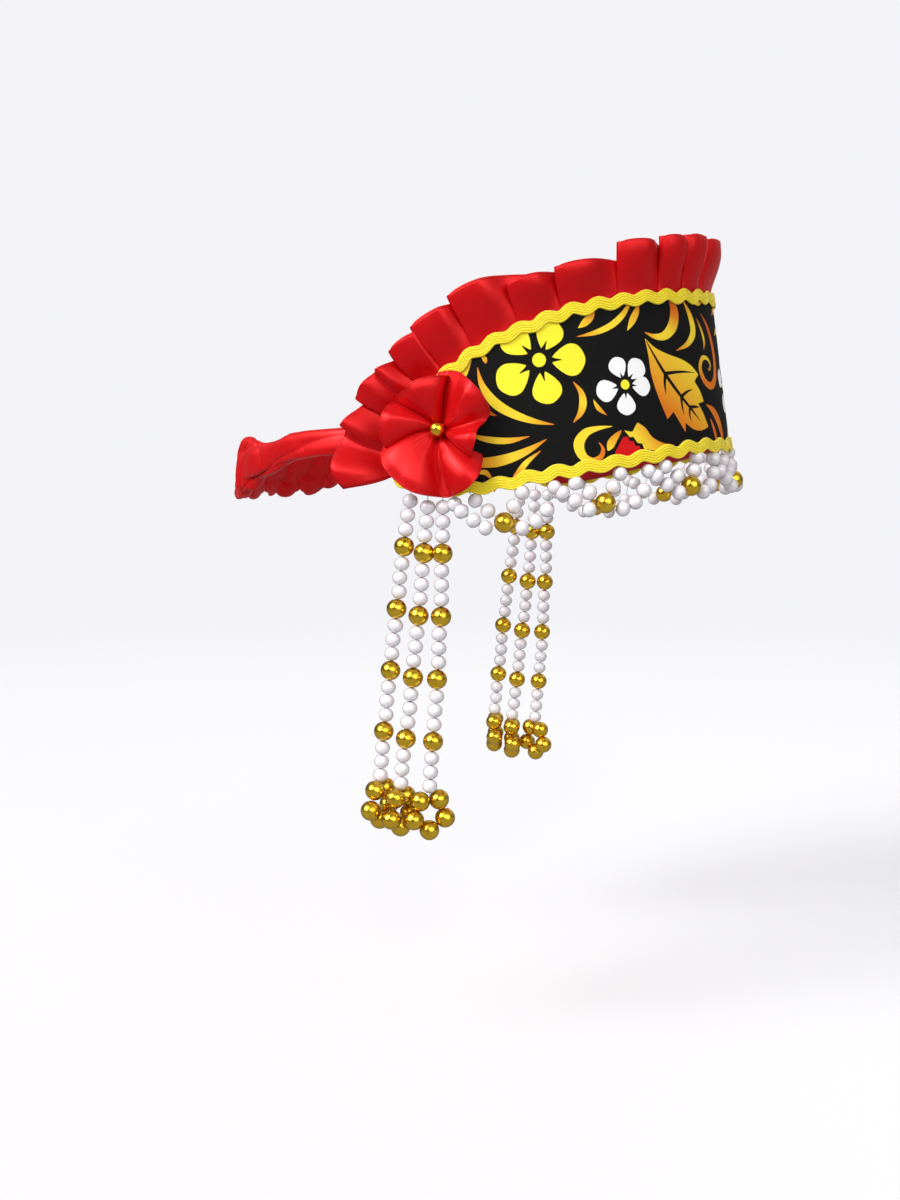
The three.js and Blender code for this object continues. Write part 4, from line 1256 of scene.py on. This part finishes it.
def strap():
    stretch = HALF_GIRTH - STRAP_START
    share = np.linspace(0, 2, STRAP_STEPS)
    mirrored = np.where(share > 1, 2 - share, share)
    along = STRAP_START + share * stretch
    columns = [from_table(STRAP_SECTIONS, mirrored, k)[:, None] for k in (1, 2, 3, 4)]
    height, middle, inner, outer = columns
    angle = np.linspace(0, 2 * math.pi, STRAP_CORNERS, endpoint=False)[None, :]
    place = (along - STRAP_START)[:, None]
    gather = smoothstep(0.1, 0.62, mirrored)[:, None]
    bunch = smoothstep(0.5, 0.78, mirrored)[:, None]
    twist = angle + 0.3 * np.sin(place * 0.045 + 0.6)
    # Two folds run along the strap, and two sets of gathers slant across it
    long_fold = folds(twist + place * 0.02 + 0.35, 0.55)
    side_fold = folds(1.5 * twist - place * 0.034 + 1.9, 0.6)
    ruche = folds(math.pi * place / RUCHE + 1.7 * np.sin(twist + 0.7), 0.6)
    small = folds(math.pi * place / SMALL_RUCHE - 2.3 * np.sin(twist - 0.4) + 1.2, 0.7)
    # The creases are shallow by the flat ends and deepest where the casing is bunched
    depth = (0.5 + 1.8 * gather) * (1 - long_fold) + (0.4 + 1.2 * gather) * (1 - side_fold)
    depth = depth + (0.25 * gather + 2.3 * bunch) * (1 - ruche)
    depth = depth + (0.15 * gather + 1.0 * bunch) * (1 - small)
    thickness = outer - inner
    shrink_up = np.clip(1 - 2 * depth / height, 0.2, 1)
    shrink_out = np.clip(1 - 1.3 * depth / np.maximum(thickness, 2), 0.25, 1)
    flat_end = smoothstep(0.04, 0.2, mirrored)[:, None]
    shrink_up = 1 + (shrink_up - 1) * flat_end
    shrink_out = 1 + (shrink_out - 1) * flat_end
    up = middle + boxed(np.sin(angle)) * height / 2 * shrink_up
    out = (inner + outer) / 2 + boxed(np.cos(angle)) * thickness / 2 * shrink_out
    slide = 1.6 * gather * np.sin(twist * 2 + place * 0.3)
    points = on_head(along[:, None] + slide, up, out)
    girth = 30 + angle * 7
    uv = np.stack(np.broadcast_arrays(girth, place), axis=-1)
    faces = grid_faces(STRAP_STEPS, STRAP_CORNERS, close_columns=True)
    made = piece("strap_satin", points, faces, SATIN, ["strap"], uv=uv)
    thicken(made, SATIN_THICKNESS)


band_cover()
band_lining()
braid()
ruffle()
strap()
for word, side in (("right", -1), ("left", 1)):
    rosette(word, side)
    for number, route in enumerate(STRAND_ROUTES):
        strand(word, side, number, route)
bead_net()


# Floor and light

BACKDROP = (0.9, 0.9, 0.93)
FLOOR_HALF = 12
FLOOR_FADE = (0.35, 1.5)  # where the floor starts to run out into the backdrop, and where it ends
FLOOR_SEEN = ((0.76, 0.76, 0.785), (0.78, 0.78, 0.8))
FLOOR_REFLECTED = (0.36, 0.36, 0.37)


def floor():
    mesh = bpy.data.meshes.new("floor")
    corners = [(-1, -1), (1, -1), (1, 1), (-1, 1)]
    points = [(x * FLOOR_HALF, y * FLOOR_HALF, FLOOR_UP * MM) for x, y in corners]
    mesh.from_pydata(points, [], [(0, 1, 2, 3)])
    finish = Finish("floor", Roughness=0.9)
    finish.shader.inputs["Specular IOR Level"].default_value = 0
    cloud = finish.noise(finish.position((0.0006, 0.0006, 0.0006)), detail=1)
    seen = finish.node("ShaderNodeLightPath").outputs["Is Camera Ray"]
    finish.colour(finish.mix(seen, FLOOR_REFLECTED, finish.mix(cloud, *FLOOR_SEEN)))
    far = finish.node("ShaderNodeVectorMath", operation="LENGTH")
    finish.link(finish.position((MM, MM, 0)), far.inputs[0])
    share = finish.ramp(far.outputs["Value"], *FLOOR_FADE)
    glow = finish.node("ShaderNodeEmission")
    glow.inputs["Color"].default_value = (*BACKDROP, 1)
    finish.link(finish.ramp(seen, 0, 1, 0.4, 1), glow.inputs["Strength"])
    output = next(n for n in finish.nodes if n.type == "OUTPUT_MATERIAL")
    finish.mix_shaders(share, finish.shader.outputs[0], glow.outputs[0], output)
    mesh.materials.append(finish.material)
    obj = bpy.data.objects.new("floor", mesh)
    bpy.context.collection.objects.link(obj)


# Soft boxes in the sky: direction, sharpness and strength
SOFT_BOXES = [
    ((-0.62, 0.5, 0.6), 30, 18.0),
    ((-0.84, -0.3, 0.5), 240, 14.0),
    ((-0.6, -0.74, 0.36), 12, 2.8),
    ((0.85, -0.1, 0.52), 6, 0.9),
]
SKY_LOW = 0.12
SKY_HIGH = 0.36
SKY_RISE = (-0.1, 0.9)  # heights between which the sky grows from its low to its high strength
SKY_COLOUR = (1, 0.99, 0.98)


def light():
    world = bpy.data.worlds.new("studio")
    bpy.context.scene.world = world
    world.use_nodes = True
    sky = Nodes(world.node_tree)
    sky.nodes.clear()
    place = sky.node("ShaderNodeTexCoord").outputs["Generated"]
    split = sky.node("ShaderNodeSeparateXYZ")
    sky.link(place, split.inputs[0])
    total = sky.ramp(
        split.outputs["Z"], *SKY_RISE, SKY_LOW, SKY_HIGH, interpolation_type="SMOOTHSTEP"
    )
    for direction, sharpness, strength in SOFT_BOXES:
        dot = sky.node("ShaderNodeVectorMath", operation="DOT_PRODUCT")
        dot.inputs[1].default_value = Vector(direction).normalized()
        sky.link(place, dot.inputs[0])
        facing = sky.maths("MAXIMUM", dot.outputs["Value"], 0)
        spot = sky.maths("POWER", facing, sharpness)
        total = sky.maths("ADD", total, sky.maths("MULTIPLY", spot, strength))
    lit = sky.node("ShaderNodeBackground")
    lit.inputs["Color"].default_value = (*SKY_COLOUR, 1)
    sky.link(total, lit.inputs["Strength"])
    seen = sky.node("ShaderNodeBackground")
    seen.inputs["Color"].default_value = (*BACKDROP, 1)
    to_camera = sky.node("ShaderNodeLightPath").outputs["Is Camera Ray"]
    output = sky.node("ShaderNodeOutputWorld")
    sky.mix_shaders(to_camera, lit.outputs[0], seen.outputs[0], output)


floor()
light()
bpy.context.scene.view_settings.view_transform = "Standard"
